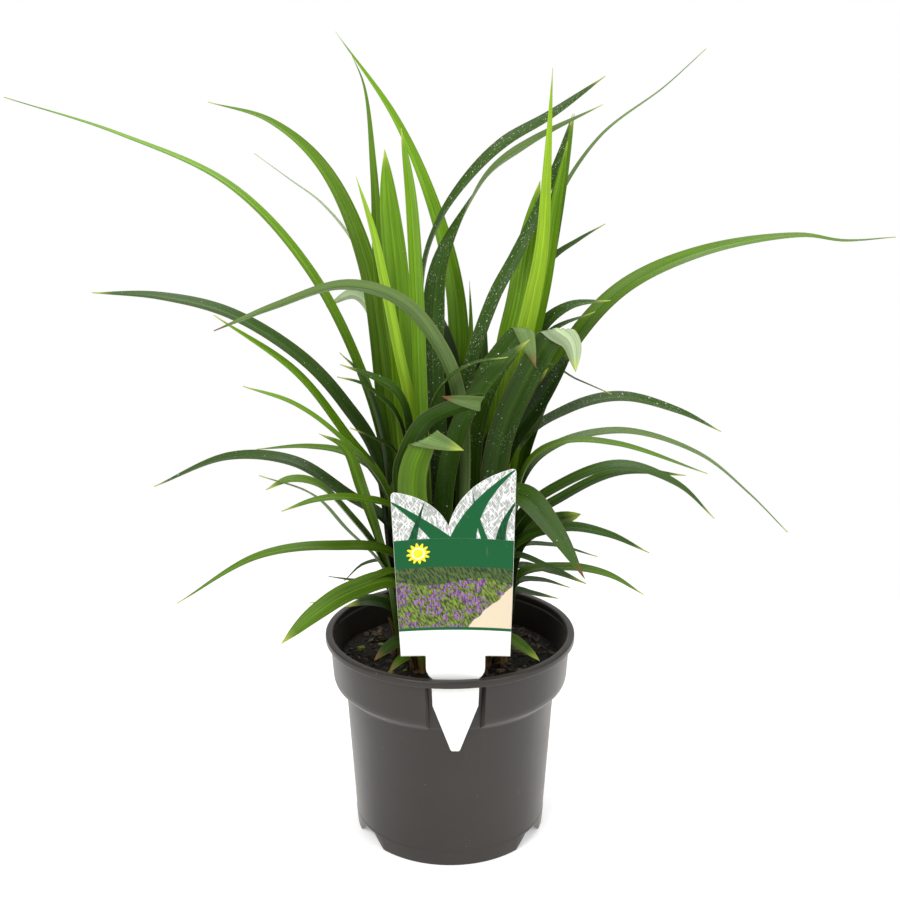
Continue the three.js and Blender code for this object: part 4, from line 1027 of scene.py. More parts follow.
# For each shoot: its root on the mix, its slot, and one row for each leaf. A row holds three
# letters for the upper face, the underside and the tip, how many drops of water lie on the leaf,
# its width, how far it is rolled up on edge with its upper face to the front, at even steps from
# root to tip (degrees), how full its tip is (1 is drawn out, 5 is blunt), how its end is folded
# over, and the points that its midrib goes through.
# A fold holds the share of the length at its crease, the way the crease runs seen from the front
# (right and up), and how far the end is turned over (degrees).
# The tone letters of each leaf were chosen to match how bright it looks, so they paint in light and
# shade as well as the leaf's own colour.
SHOOTS = {
    "left": ((-30, 0), "leaves_mid", (
        ("DMy", 10, 12, (65, 40, 16), 6, None, (-45, -2, 247), (-64, -10, 284), (-88, -18, 314),
         (-128, -27, 342), (-166, -34, 353), (-203, -40, 356)),
        ("BMy", 0, 10, (50, 40, 20), 4, None, (-39, -6, 225), (-62, -14, 264), (-91, -22, 306),
         (-135, -38, 343)),
        ("BMy", 0, 9, (50, 30, 15), 5, None, (-39, -12, 229), (-66, -26, 268), (-91, -38, 291),
         (-118, -50, 304)),
        ("DMy", 0, 9, (20, 0, -60), 3, None, (-39, -12, 175), (-53, -24, 233), (-62, -36, 264),
         (-76, -46, 275)),
        ("MMy", 0, 7, (40, 10), 5, None, (-39, 2, 229), (-63, 14, 246), (-90, 26, 248),
         (-126, 38, 243)),
        ("DMy", 20, 12, (25, 12, 16, 14), 4, None, (-36, -4, 202), (-66, 4, 223), (-98, 10, 242),
         (-140, 16, 244), (-190, 20, 223)),
        ("MBy", 0, 13, (35, 25, 15), 4, None, (-42, -7, 181), (-61, -17, 215), (-80, -30, 240),
         (-95, -38, 245), (-108, -46, 241)),
        ("MMy", 0, 8, (30, 5, -5), 3, None, (-41, -13, 179), (-64, -23, 210), (-82, -35, 235),
         (-111, -50, 251)),
        ("DBy", 0, 8, (70, 20), 4, None, (-41, 4, 258), (-54, 2, 299), (-67, 0, 314)),
    )),
    "low_left": ((-30, 15), "leaves_mid", (
        ("DDb", 0, 4, (30, 10), 2, None, (-42, 14, 158), (-65, 18, 160), (-80, 24, 160)),
        ("DDb", 0, 5, (30, 10), 2, None, (-36, 12, 174), (-55, 8, 175), (-68, 6, 164)),
        ("DDy", 0, 9, (50, 15), 3, None, (-38, 10, 144), (-52, 8, 149), (-68, 6, 146)),
        ("DMy", 0, 4, (30, 10), 2, None, (-39, 16, 147), (-66, 20, 146), (-93, 22, 142)),
    )),
    "front_left": ((-19, -19), "leaves_mid", (
        ("MMy", 0, 9, (35, 10), 4, None, (-29, -26, 219), (-55, -40, 234), (-77, -52, 237),
         (-97, -62, 233)),
        ("MMy", 0, 11, (30, 16, 12, 5), 1.8, None, (-33, -24, 191), (-72, -38, 203),
         (-114, -50, 201), (-160, -64, 177)),
        ("MMy", 0, 14, (50, 30, 25), 4, None, (-32, -32, 178), (-60, -46, 177), (-81, -58, 167),
         (-99, -70, 154)),
        ("MMy", 0, 8, (35, 12), 4, None, (-33, -28, 182), (-61, -34, 173), (-78, -40, 167),
         (-93, -48, 158)),
        ("MMy", 0, 6, (30, 10), 3, None, (-31, -27, 182), (-53, -38, 179), (-67, -43, 167)),
        ("DDb", 0, 8, (50, 25), 3, None, (-30, -34, 140), (-38, -42, 139), (-46, -50, 134)),
        ("MDb", 0, 6, (50, 25), 3, None, (-27, -38, 131), (-32, -46, 131), (-37, -52, 127)),
        ("DMy", 14, 14, (80, 60, 30), 3, None, (-24, -30, 267), (-27, -32, 288), (-32, -34, 298),
         (-43, -37, 306), (-63, -42, 315)),
        ("DDy", 0, 9, (70, 50, 20), 4, None, (-26, -29, 262), (-32, -32, 284), (-40, -35, 294),
         (-51, -38, 303), (-65, -43, 308)),
        ("KKy", 0, 8, (60, 20), 3, None, (-32, -27, 258), (-45, -36, 270), (-58, -44, 278)),
    )),
    "back_left": ((-16, 20), "leaves_mid", (
        ("BGy", 0, 9, (30, 25, 12), 1.8, None, (-37, 16, 222), (-53, 22, 289), (-87, 32, 359),
         (-136, 42, 411), (-205, 50, 442), (-277, 58, 464)),
        ("MMy", 0, 14, (75, 52, 42), 1.6, None, (-38, 20, 260), (-52, 28, 366), (-78, 36, 423),
         (-110, 42, 450), (-149, 50, 461)),
        ("PPy", 0, 4, (70, 40), 1.2, None, (-46, 50, 318), (-59, 56, 370), (-81, 58, 399),
         (-101, 58, 414), (-123, 58, 430)),
        ("MPy", 0, 18, (-60, -70, -75, -85), 3, None, (-36, 32, 270), (-45, 38, 321),
         (-51, 40, 337), (-61, 42, 344), (-79, 46, 335)),
        ("MMy", 0, 12, (50, 14), 3, None, (-26, 52, 205), (-34, 88, 240), (-42, 128, 246),
         (-48, 165, 228)),
        ("DMy", 0, 10, (50, 12), 3, None, (-17, 62, 165), (-23, 106, 178), (-30, 150, 166)),
    )),
    "centre_left": ((-11, 1), "leaves_fresh", (
        ("FFy", 0, 7, (85, 80), 4, None, (-23, -10, 275), (-31, -12, 318), (-39, -12, 360),
         (-45, -12, 389), (-54, -13, 419)),
        ("MMy", 0, 10, (85, 70), 1.2, None, (-33, 2, 284), (-42, 4, 358), (-45, 6, 422),
         (-50, 9, 470), (-58, 11, 489)),
        ("BBy", 2, 15, (90, 85), 6, None, (-27, -2, 285), (-32, -2, 364), (-36, -1, 405),
         (-38, 0, 434)),
        ("BBy", 0, 10, (85, 80), 6, None, (-18, -10, 286), (-20, -10, 354), (-23, -9, 408),
         (-28, -8, 446)),
    )),
    "front": ((1, -26), "leaves_dark", (
        ("MGr", 0, 12, (-40, -18, -20, -36, -44), 5, None, (5, -28, 291), (-9, -36, 329),
         (-29, -48, 353), (-58, -62, 363), (-94, -78, 354), (-125, -92, 343)),
        ("GDr", 4, 13, (-40, -20, -18, -24, -46, -60), 8, (0.872, (0.14, 0.99), 165),
         (-28, -44, 250), (-24, -46, 265), (-14, -47, 282), (2, -49, 291), (17, -50, 295),
         (47, -50, 299)),
        ("GMy", 3, 17, (-19, -19), 5, (0.862, (0.88, 0.47), 165), (-22, -52, 243),
         (-20, -54, 259), (-16, -56, 270), (-8, -58, 299)),
        ("DDy", 40, 9, (70, 15), 4, None, (-13, -34, 280), (-3, -38, 304), (14, -42, 316),
         (33, -46, 320)),
        ("DMy", 20, 14, (75, 60), 4, None, (-2, -33, 243), (12, -35, 290), (29, -37, 314),
         (46, -39, 329)),
    )),
    "back": ((3, 22), "leaves_mid", (
        ("BBy", 0, 13, (85, 75), 1.1, None, (6, 22, 279), (3, 24, 349), (-11, 27, 403),
         (-33, 30, 452), (-68, 34, 501)),
        ("KKy", 0, 15, (88, 80), 5, None, (-2, 15, 255), (1, 16, 300), (-6, 17, 337)),
        ("MMy", 0, 7, (85, 80), 2, None, (11, 18, 280), (13, 19, 325), (12, 20, 355)),
        ("DDr", 0, 12, (85, 80), 3, None, (16, 14, 236), (19, 15, 268), (22, 16, 334)),
        ("MMy", 0, 12, (60, 15), 3, None, (2, 60, 230), (0, 100, 282), (-2, 150, 296),
         (-4, 198, 276)),
        ("DMy", 0, 12, (60, 15), 3, None, (12, 55, 215), (18, 95, 252), (22, 140, 258),
         (25, 180, 240)),
    )),
    "centre_right": ((8, 0), "leaves_dark", (
        ("DMy", 200, 10, (30, 10, 5, 4, 10, 42, 50), 5, None, (-14, 5, 284), (-16, 6, 363),
         (-6, 7, 393), (12, 7, 419), (32, 7, 438), (58, 7, 453), (90, 8, 475)),
        ("DGy", 150, 14, (85, 85, 85, 85, 80, 20, -45, -45), 2.2, None, (-9, -2, 272),
         (-10, -3, 334), (-6, -3, 367), (7, -2, 396), (23, -2, 421), (46, -1, 438), (88, 0, 459)),
        ("DMy", 20, 11, (85, 75), 4, None, (10, 0, 266), (16, 0, 316), (20, 0, 338)),
        ("DDy", 190, 8, (85, 75), 4, None, (8, -6, 285), (25, -6, 346), (39, -4, 373),
         (53, -2, 402), (65, 0, 434), (71, 1, 454)),
        ("KKy", 0, 12, (85, 80), 3, None, (-2, -10, 230), (1, -12, 265), (4, -13, 286)),
    )),
    "back_right": ((17, 20), "leaves_dark", (
        ("GDy", 0, 4, (80, 30), 1.5, None, (42, 22, 324), (61, 26, 394), (90, 32, 440),
         (130, 40, 470), (155, 46, 492)),
        ("DMy", 0, 8, (70, 30), 4, None, (43, 19, 325), (60, 21, 366), (79, 23, 380),
         (95, 26, 389)),
        ("MMy", 3, 13, (50, 45, 35, 15), 1.8, None, (51, 23, 260), (73, 28, 309), (107, 32, 348),
         (155, 33, 371), (218, 38, 381), (246, 40, 377.5), (279, 42, 379.5)),
        ("DMy", 130, 12, (8, 5, 8, 22, 25), 4, None, (45, 22, 250), (75, 27, 272), (108, 29, 280),
         (147, 31, 270), (175, 33, 256)),
        ("MMy", 0, 12, (50, 14), 3, None, (28, 52, 200), (38, 86, 230), (45, 122, 234),
         (50, 155, 218)),
        ("DMy", 0, 10, (50, 12), 3, None, (22, 60, 160), (26, 104, 170), (29, 145, 158)),
    )),
    "right": ((21, 4), "leaves_fresh", (
        ("BBy", 16, 14, (88, 80), 6, None, (29, 2, 271), (35, 2, 318), (41, 3, 346), (45, 3, 373),
         (53, 3, 416)),
        ("FFy", 0, 12, (88, 85), 1.6, None, (34, -6, 270), (49, -7, 347), (54, -8, 377),
         (56, -9, 420), (58, -10, 479)),
        ("MMy", 0, 12, (88, 80), 4, None, (40, 9, 282), (54, 10, 349), (62, 11, 393),
         (68, 12, 427), (73, 12, 454)),
        ("BMy", 0, 9, (88, 80), 5, None, (43, 4, 284), (57, 5, 357), (63, 6, 402), (69, 6, 439)),
        ("DMy", 30, 14, (75, 60, 35), 3, None, (40, 9, 295), (55, 10, 327), (73, 11, 341),
         (98, 12, 344)),
        ("DMy", 12, 10, (70, 20), 3, None, (39, 10, 282), (61, 12, 324), (89, 13, 337)),
        ("KDy", 40, 14, (80, 70), 4, None, (31, 0, 246), (54, 0, 283), (76, 0, 319)),
        ("DDy", 0, 5, (50, 10), 3, None, (55, 8, 305), (79, 11, 295), (101, 14, 285)),
    )),
    "outer_right": ((32, -6), "leaves_mid", (
        ("GMy", 0, 10, (25, 10, 10, 8), 2.5, None, (46, -2, 235), (65, 4, 254), (108, 11, 262),
         (158, 15, 246), (192, 18, 219), (219, 20, 192)),
        ("MMy", 0, 9, (30, 10, 12), 3, None, (47, -11, 246), (67, -13, 261), (101, -12, 260),
         (158, -12, 241)),
        ("DMy", 0, 10, (30, 14), 4, None, (44, -6, 202), (72, -8, 226), (104, -12, 242),
         (144, -16, 241)),
        ("DMy", 0, 12, (50, 35), 9, None, (43, -1, 192), (60, 3, 203), (83, 6, 209)),
    )),
    "low_right": ((32, 16), "leaves_mid", (
        ("DDy", 0, 5, (30, 10), 3, None, (43, 14, 183), (65, 16, 185), (96, 18, 176)),
        ("MDy", 0, 9, (25, 10), 3.5, None, (44, 12, 165), (74, 12, 171), (102, 12, 166),
         (126, 12, 152)),
        ("DDy", 0, 6, (30, 10), 3, None, (43, 18, 169), (66, 22, 164), (90, 26, 154)),
        ("DDy", 0, 6, (30, 10), 3, None, (43, 20, 157), (59, 26, 157), (80, 32, 149)),
        ("DDy", 0, 7, (30, 10), 3, None, (42, 20, 151), (56, 26, 147), (72, 30, 142)),
    )),
    "front_right": ((19, -19), "leaves_dark", (
        ("DGr", 60, 16, (85, 80), 6, (0.895, (0.99, -0.14), 165), (12, -16, 257), (21, -18, 298),
         (33, -20, 319), (42, -22, 331), (58, -24, 353)),
        ("DPy", 60, 16, (85, 80), 8, (0.8725, (0.996, 0.087), 160), (29, -16, 257),
         (44, -20, 300), (61, -22, 331), (70, -23, 342), (70, -24, 360)),
        ("KDy", 40, 14, (80, 70), 4, None, (21, -12, 243), (39, -12, 281), (59, -12, 307)),
        ("DMy", 2, 12, (40, 18, 14), 3, None, (40, -24, 213), (69, -29, 240), (102, -32, 252),
         (135, -38, 242), (157, -42, 222)),
        ("DMr", 14, 16, (60, 40, 20), 3, None, (30, -34, 231), (43, -48, 238), (60, -72, 224),
         (75, -94, 204)),
        ("DMy", 0, 10, (40, 14), 3, None, (38, -24, 197), (68, -32, 213), (94, -38, 211),
         (119, -44, 201)),
        ("DDy", 0, 6, (30, 12), 3, None, (37, -20, 190), (60, -26, 186), (83, -32, 177)),
        ("MMy", 0, 8, (40, 20), 3, None, (36, -26, 138), (46, -34, 135), (55, -42, 130)),
    )),
}


def curve_through(points, count):
    """A smooth curve through the points, with each end carried on straight, at even distances.

    It is a cubic between each two points. Its slope at a point is
    (b - a)/u - (c - a)/(u + v) + (c - b)/v, for the points a, b, c before, at and after it and the
    square roots u and v of the distances between them.
    """
    knots = np.vstack([2 * points[0] - points[1], points, 2 * points[-1] - points[-2]])
    gaps = np.sqrt(np.linalg.norm(np.diff(knots, axis=0), axis=1))[:, None]
    u, v, a, b, c = gaps[:-1], gaps[1:], knots[:-2], knots[1:-1], knots[2:]
    slope = (b - a) / u - (c - a) / (u + v) + (c - b) / v
    position = np.linspace(0, len(points) - 1, CURVE_STEPS * len(points))
    piece = np.minimum(position.astype(int), len(points) - 2)
    t, gap = (position - piece)[:, None], gaps[1:-1][piece]
    first, last = points[piece], points[piece + 1]
    out, back = slope[piece] * gap, slope[piece + 1] * gap
    square = -3 * first + 3 * last - 2 * out - back
    cube = 2 * first - 2 * last + out + back
    dense = first + out * t + square * t**2 + cube * t**3
    return evenly(dense, count)


def unit(vectors):
    """Each vector with length 1."""
    return vectors / np.linalg.norm(vectors, axis=-1, keepdims=True)


class Blade:
    """The midrib of a leaf, and at each station the way across it and the way out of its face."""

    def __init__(self, root, row):
        self.tones, self.drops, width, rolls, fullness, self.fold, *through = row
        through = np.array(through, float)
        root = np.array([*root, BLADE_START], float)
        heading = unit((through[-1] - root)[:2])
        offset = (through[0] - root)[:2] * 0.2
        offset *= min(1, BLADE_ROOT_REACH / max(np.linalg.norm(offset), 1e-6))
        start = root + [*offset, 0]
        rough_length = np.linalg.norm(np.diff(np.vstack([start, through]), axis=0), axis=1).sum()
        count = int(np.clip(rough_length / STATION_STEP, *STATION_LIMITS))
        count *= 1 if self.fold is None else FOLDED_STATIONS
        self.centre, self.length = curve_through(np.vstack([start, through]), count)
        self.along = np.linspace(0, 1, count)
        self.tangent = unit(np.gradient(self.centre, axis=0))
        side = np.broadcast_to([-heading[1], heading[0], 0], self.centre.shape)
        side = unit(side - (side * self.tangent).sum(axis=1, keepdims=True) * self.tangent)
        roll = np.interp(self.along, np.linspace(0, 1, len(rolls)), np.radians(rolls))[:, None]
        roll = roll * (-1 if heading[0] < 0 else 1)
        self.side = side * np.cos(roll) + np.cross(self.tangent, side) * np.sin(roll)
        self.up = np.cross(self.tangent, self.side)
        widening = 0.55 + 0.45 * smooth(self.along, 0, 0.35)
        narrowing = 1 - np.clip((self.along - 0.5) / 0.5, 0, 1) ** fullness
        self.span = width * np.maximum(widening * narrowing, BLADE_TIP_SHARE)
        self.keel = self.span * (0.2 - 0.1 * self.along + 0.3 * (1 - smooth(self.along, 0, 0.16)))

    def place(self, station, across, out):
        """Points of the blade: centre + across span/2 side + (keel (|across|^1.3 - 1/2) + out) up.

        station holds whole numbers or parts of them, and all three broadcast together.
        """
        whole = np.minimum(np.asarray(station).astype(int), len(self.along) - 2)
        part = (station - whole)[..., None]

        def at(values):
            return values[whole] * (1 - part) + values[whole + 1] * part

        span, keel = at(self.span[:, None]), at(self.keel[:, None])
        across = np.asarray(across)[..., None]
        rise = keel * (np.abs(across) ** 1.3 - 0.5) + np.asarray(out)[..., None]
        flat = at(self.centre) + across * span / 2 * at(self.side) + rise * at(self.up)
        return self.folded(flat, station / (len(self.along) - 1))

    def folded(self, points, along_share):
        """The points with the leaf's end turned over towards the front, about its crease.

        Past the crease, a point at a distance q from it and h out of the blade goes to the angle
        q / r on a cylinder of radius r - h, and past the end of the turn it goes on straight. The
        part of the leaf that is further than FOLD_REACH below its crease is left as it is.
        """
        if self.fold is None:
            return points
        share, (right, up), degrees = self.fold
        station = round(share * (len(self.along) - 1))
        origin, out = self.centre[station], self.up[station]
        out = out if out[1] < 0 else -out
        crease = np.array([right, 0, up])
        crease = unit(crease - (crease @ out) * out)
        onward = np.cross(crease, out)
        onward = onward if onward @ self.tangent[station] > 0 else -onward
        offset = points - origin
        along, past, height = (offset @ axis for axis in (crease, onward, out))
        near = (share - along_share) * self.length < FOLD_REACH
        past = np.where(near, past, np.minimum(past, 0))
        turn = np.clip(past / FOLD_RADIUS, 0, math.radians(degrees))
        rest = past - turn * FOLD_RADIUS
        forward = (FOLD_RADIUS - height) * np.sin(turn) + rest * np.cos(turn)
        rise = FOLD_RADIUS - (FOLD_RADIUS - height) * np.cos(turn) + rest * np.sin(turn)
        parts = ((along, crease), (forward, onward), (rise, out))
        return origin + sum(amount[..., None] * axis for amount, axis in parts)


def blade_colours(blade, upper, palette):
    """The colour at each point of one face: painted shade towards the root, a paler midrib, a dry
    margin, and a dying tip.
    """
    along, places = blade.along[:, None, None], np.abs(ACROSS)[:, None]
    reached = along * blade.length
    # Painted shade: each face darkens towards the root, standing in for the shadow deep in the
    # tuft.
    shade = 0.42 + 0.63 * smooth(reached, 0, 60 + 0.8 * blade.length)
    groove = (1 - smooth(places, 0.0, 0.16)) * (1 - smooth(along, 0.8, 1))
    base = palette[blade.tones[0 if upper else 1]] * shade
    base = base * (1 + (0.35 if upper else 0.5) * groove)
    for share, tone in (
        (smooth(places, 0.92, 1) * 0.4, "m"),
        (smooth(reached, blade.length - 11, blade.length) * 0.8, blade.tones[2]),
        ((1 - smooth(reached, 2, 26)) * 0.6, "S"),
    ):
        base = base * (1 - share) + share * palette[tone]
    return base


def add_blade(surface, blade, thickness, palette, shift):
    """One leaf blade as a closed skin: its lower face, then back over its upper face."""
    station = np.arange(len(blade.along))[:, None]
    half = thickness / 2 * (1 - 0.75 * ACROSS**4)
    rib = 0.35 * thickness * np.exp(-((ACROSS / 0.15) ** 2)) * (1 - 0.8 * blade.along)[:, None]
    lower = blade.place(station, ACROSS, -half - rib)
    upper = blade.place(station, ACROSS, half)[:, ::-1]
    ring = np.concatenate([lower, upper], axis=1)
    colours = [blade_colours(blade, face, palette) for face in (False, True)]
    dew = np.repeat([0, min(blade.drops / 100, 1)], len(ACROSS))[:, None]
    dew = np.broadcast_to(dew, (*ring.shape[:2], 1))
    across = np.concatenate([ACROSS, ACROSS[::-1]]) / 2 + 0.5
    along = blade.along[:, None] * blade.length * MM * 10 + shift
    surface.add(
        ringed(ring),
        capped(*ring.shape[:2]),
        leaf_tint=ringed(np.concatenate([np.concatenate(colours, axis=1), dew], axis=2)),
        leaf_place=ringed(np.stack(np.broadcast_arrays(across, along), axis=-1)),
    )


def add_drops(surface, blade, draw):
    """Drops of water on the upper face: low domes, r cos(a), r sin(a) and 0.7 r at the top."""
    count = blade.drops
    station = draw.uniform(0.3, 0.96, count) * (len(blade.along) - 1)
    across = draw.uniform(-0.85, 0.85, count)
    radius = draw.lognormal(-1.6, 0.35, count).clip(0.12, 0.55)
    around = np.linspace(0, 2 * math.pi, DROP_SIDES, endpoint=False)
    latitude = np.radians(DROP_LATITUDES)[:, None]
    dome = turned(np.cos(latitude), around, np.sin(latitude) * DROP_TOP)
    dome = np.vstack([dome.reshape(-1, 3), [[0, 0, DROP_FOOT], [0, 0, DROP_TOP]]])
    middle = blade.place(station, across, 0.25)
    sideways = unit(blade.place(station, across + 0.04, 0.25) - middle)
    onward = unit(blade.place(station + 0.05, across, 0.25) - middle) * 1.15
    outward = unit(blade.place(station, across, 0.35) - middle)
    domes = np.einsum("ij,njk->nik", dome, np.stack([sideways, onward, outward], axis=1))
    points = (middle[:, None] + domes * radius[:, None, None]).reshape(-1, 3)
    shift = np.arange(count)[:, None, None] * len(dome)
    shell = capped(len(DROP_LATITUDES), DROP_SIDES)
    surface.add(
        points,
        [(block + shift).reshape(-1, block.shape[1]) for block in shell],
        material=1,
        leaf_tint=np.full((len(points), 4), 0.8),
        leaf_place=np.zeros((len(points), 2)),
    )


def add_sheath(surface, root, palette, draw):
    """The clasping leaf bases: a flattened tapering stem, and short dry scales round it."""
    turn = np.linspace(0, 2 * math.pi, SHEATH_SIDES, endpoint=False)
    heights = np.array(SHEATH_HEIGHTS)[:, None]
    rise = (heights - heights[0]) / (heights[-1] - heights[0])
    radius = SHEATH_RADIUS * (1 - 0.3 * rise) * (1 + 0.05 * np.cos(3 * turn))
    points = turned(radius, turn, heights) * (1, SHEATH_FLATNESS, 1) + (*root, 0)
    share = smooth(points[..., 2:], 110, 130)
    colours = (1 - share) * palette["S"] + share * palette["M"]
    places = np.stack(np.broadcast_arrays(turn / (2 * math.pi) * 3, heights * MM * 10), axis=-1)
    surface.add(
        np.vstack([points.reshape(-1, 3), [[*root, heights[0, 0]], [*root, SHEATH_TOP]]]),
        capped(*points.shape[:2]),
        leaf_tint=ringed(np.pad(colours, ((0, 0), (0, 0), (0, 1)))),
        leaf_place=np.vstack([places.reshape(-1, 2), [[0, 1], [0, 1.3]]]),
    )
    for bearing in draw.uniform(0, 2 * math.pi, 4):
        out = np.array([math.cos(bearing), math.sin(bearing) * SHEATH_FLATNESS]) * SHEATH_RADIUS
        reach, tall = draw.uniform(0.9, 1.5), draw.uniform(12, 24)
        through = [
            (*(root + out * 0.95), BLADE_START - 2),
            (*(root + out * reach), BLADE_START + tall * 0.6),
            (*(root + out * reach * 1.5), BLADE_START + tall),
        ]
        scale = Blade(root, ("MSb", 0, draw.uniform(6, 9), (0, 0), 1.6, None, *through))
        add_blade(surface, scale, 0.5, palette, draw.uniform(0, 9))


def leaf_material():
    """Leaf skin: the leaf's tint, its colour with painted shade and sheen, with parallel veins,
    mottling, fine dew painted pale as a highlight, and a satin gloss.
    """
    material, shader, surface = new_material("leaf_skin", Specular_IOR_Level=0.26)
    given = shader.attribute("leaf_tint")
    place_, object_place = shader.uv_place("leaf_place"), shader.object_place()
    veins = shader.noise(shader.stretched(place_, 13.0, 0.3, 1.0), 1.0, 3.0, 0.6)
    ribs = shader.math("MULTIPLY", shader.parts(place_)[0], 2 * math.pi * 7)
    ribs = shader.math("SINE", ribs)
    mottle = shader.noise(shader.stretched(place_, 3.0, 2.6, 1.0), 1.0, 5.0, 0.62)
    light = shader.step(veins, 0.32, 0.7, 0.74, 1.22)
    light = shader.math("MULTIPLY", light, shader.step(mottle, 0.3, 0.7, 0.88, 1.12))
    skin = shader.shaded(given["Color"], shader.math("MULTIPLY_ADD", ribs, 0.03, light))
    bead = shader.step(shader.cells(object_place, 620.0), 0.34, 0.2)
    drift = shader.step(shader.noise(object_place, 70.0, 3.0), 0.42, 0.6)
    bead = shader.math("MULTIPLY", shader.math("MULTIPLY", bead, drift), given["Alpha"])
    gloss = shader.step(mottle, 0.3, 0.7, 0.34, 0.5)
    fine = shader.bump(shader.math("MULTIPLY_ADD", ribs, 0.2, veins), 0.00008, 0.7)
    # Painted highlight: the fine dew beads pale the base colour, standing in for their glint; their
    # bump and lower roughness are the beads' own.
    shader.fill(
        surface,
        Base_Color=shader.mix(shader.math("MULTIPLY", bead, 0.3), skin, paint(190, 206, 176)),
        Roughness=shader.math("MULTIPLY_ADD", bead, -0.25, gloss),
        Normal=shader.bump(bead, 0.0003, 0.8, Normal=fine),
    )
    return material


def water_material():
    """Drops of water: glossy domes whose pale base colour is a painted highlight, standing in for
    the glint of clear water.
    """
    material, shader, surface = new_material("water", Roughness=0.04, IOR=1.33, Coat_Weight=0.6)
    # Painted highlight: the glint noise speckles the pale base colour of the drops.
    glint = shader.noise(shader.object_place(), 1500.0, 1.0)
    shader.fill(surface, Base_Color=shader.mix(glint, paint(150, 168, 138), paint(206, 216, 196)))
    return material


class LILY_OT_shoots(bpy.types.Operator):
    """Makes the thirteen shoots, each a fan of arching blades on a clasping base"""

    bl_idname = "lily.make_shoots"
    bl_label = "Shoots"

    def execute(self, context):
        values = context.scene.lily_leaf
        palette = {letter: np.array(getattr(values, name)) for letter, name in TONES.items()}
        materials = [leaf_material(), water_material()]
        draw = np.random.default_rng(SHEATH_SEED)
        drop_draw = np.random.default_rng(DROP_SEED)
        for name, (root, slot, rows) in SHOOTS.items():
            surface = Surface()
            root = np.array(root, float)
            add_sheath(surface, root, palette, draw)
            for row in rows:
                blade = Blade(root, row)
                add_blade(surface, blade, values.thickness / MM, palette, draw.uniform(0, 9))
                if blade.drops:
                    add_drops(surface, blade, drop_draw)
            piece = place(f"leaves_{name}", surface, materials, 60)
            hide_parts(f"shoot_{name}")
        return {"FINISHED"}


# Stage

CAMERA_PLACE = (0.0, -0.7391, 0.4534)
CAMERA_PITCH = 74.81
CAMERA_LENS = 49.4
FLOOR_REACH = 5.0
FLOOR_FADE = (0.16, 0.62)
SURROUNDING_LIGHT = 0.62
# Each light's name, place, target, size and power
LIGHTS = (
    ("key", (-0.9, -1.3, 1.7), (0, 0, 0.22), 1.1, 26),
    ("fill", (1.3, -1.1, 1.0), (0, 0, 0.2), 1.2, 12),
    ("top", (0.2, 0.6, 2.0), (0, 0, 0.2), 1.2, 16),
)


def add_light(name, place_, target, size_, power):
    """A square soft light that shines from its place to its target."""
    lamp = bpy.data.lights.new(name, "AREA")
    lamp.size = size_
    lamp.energy = power
    light = bpy.data.objects.new(name, lamp)
    light.location = place_
    x, y, z = np.array(target) - np.array(place_)
    light.rotation_euler = (math.atan2(math.hypot(x, y), -z), 0, math.atan2(y, x) - math.pi / 2)
    bpy.context.scene.collection.objects.link(light)


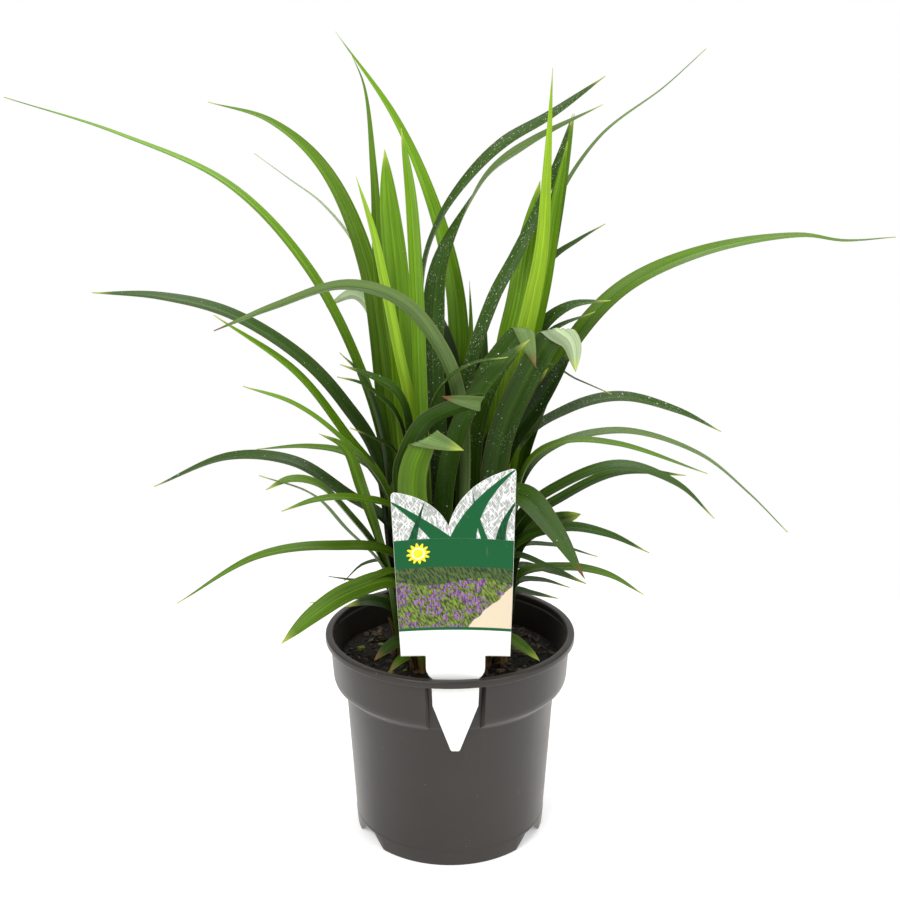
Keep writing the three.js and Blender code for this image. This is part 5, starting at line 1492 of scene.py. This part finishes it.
class LILY_OT_stage(bpy.types.Operator):
    """Makes the pale floor, the soft studio lights, the white surroundings and the camera"""

    bl_idname = "lily.make_stage"
    bl_label = "Stage"

    def execute(self, context):
        scene = context.scene
        across = np.linspace(-FLOOR_REACH, FLOOR_REACH, 3) / MM
        x, y = np.meshgrid(across, across, indexing="ij")
        surface = Surface()
        points = np.stack([x, y, np.zeros_like(x)], axis=-1).reshape(-1, 3)
        surface.add(points, [grid_quads(3, 3, False)[:, ::-1]])
        floor = bpy.data.objects.new("floor", surface.mesh("floor"))
        scene.collection.objects.link(floor)
        material, shader, skin = new_material(
            "floor_white", Roughness=0.8, Emission_Color=(1.0, 1.0, 1.0)
        )
        away = shader.vector_math("LENGTH", shader.object_place())["Value"]
        far = shader.step(away, *FLOOR_FADE)
        shader.fill(
            skin,
            Base_Color=shader.mix(far, (0.9, 0.9, 0.9), (0.0, 0.0, 0.0)),
            Specular_IOR_Level=shader.step(far, 0.0, 1.0, 0.3, 0.0),
            Emission_Strength=shader.step(far, 0.0, 1.0, 0.3, 1.0),
        )
        floor.data.materials.append(material)
        for light in LIGHTS:
            add_light(*light)

        world = bpy.data.worlds.new("surroundings")
        world.use_nodes = True
        shader = Shader(world.node_tree)
        background = next(node for node in world.node_tree.nodes if node.type == "BACKGROUND")
        seen = shader.node("ShaderNodeLightPath").outputs["Is Camera Ray"]
        strength = shader.step(seen, 0.0, 1.0, SURROUNDING_LIGHT, 1.0)
        shader.fill(background, Strength=strength, Color=(1, 1, 1))
        scene.world = world
        scene.view_settings.view_transform = "Standard"

        camera = bpy.data.objects.new("camera", bpy.data.cameras.new("camera"))
        camera.location = CAMERA_PLACE
        camera.rotation_euler = (math.radians(CAMERA_PITCH), 0, 0)
        camera.data.lens = CAMERA_LENS
        scene.collection.objects.link(camera)
        scene.camera = camera
        return {"FINISHED"}


class LILY_PT_panel(bpy.types.Panel):
    """Lists the sizes, the colours and the steps"""

    bl_idname = "LILY_PT_panel"
    bl_label = "Flax lily"
    bl_space_type = "VIEW_3D"
    bl_region_type = "UI"
    bl_category = "Plant"

    def draw(self, context):
        for name, group in PROPERTY_GROUPS.items():
            box = self.layout.box()
            for key in group.__annotations__:
                box.prop(getattr(context.scene, name), key)
        for operator in OPERATORS:
            self.layout.operator(operator.bl_idname)


OPERATORS = (LILY_OT_pot, LILY_OT_mix, LILY_OT_label, LILY_OT_shoots, LILY_OT_stage)


def register():
    for group in PROPERTY_GROUPS.values():
        bpy.utils.register_class(group)
    for name, group in PROPERTY_GROUPS.items():
        setattr(bpy.types.Scene, name, bpy.props.PointerProperty(type=group))
    for made in (*OPERATORS, LILY_PT_panel):
        bpy.utils.register_class(made)


def unregister():
    for made in (LILY_PT_panel, *reversed(OPERATORS)):
        bpy.utils.unregister_class(made)
    for name, group in PROPERTY_GROUPS.items():
        delattr(bpy.types.Scene, name)
        bpy.utils.unregister_class(group)


def main():
    register()
    make_moulded_grain()
    bpy.ops.lily.make_pot()
    bpy.ops.lily.make_mix()
    bpy.ops.lily.make_label()
    bpy.ops.lily.make_shoots()
    bpy.ops.lily.make_stage()


if __name__ == "__main__":
    main()
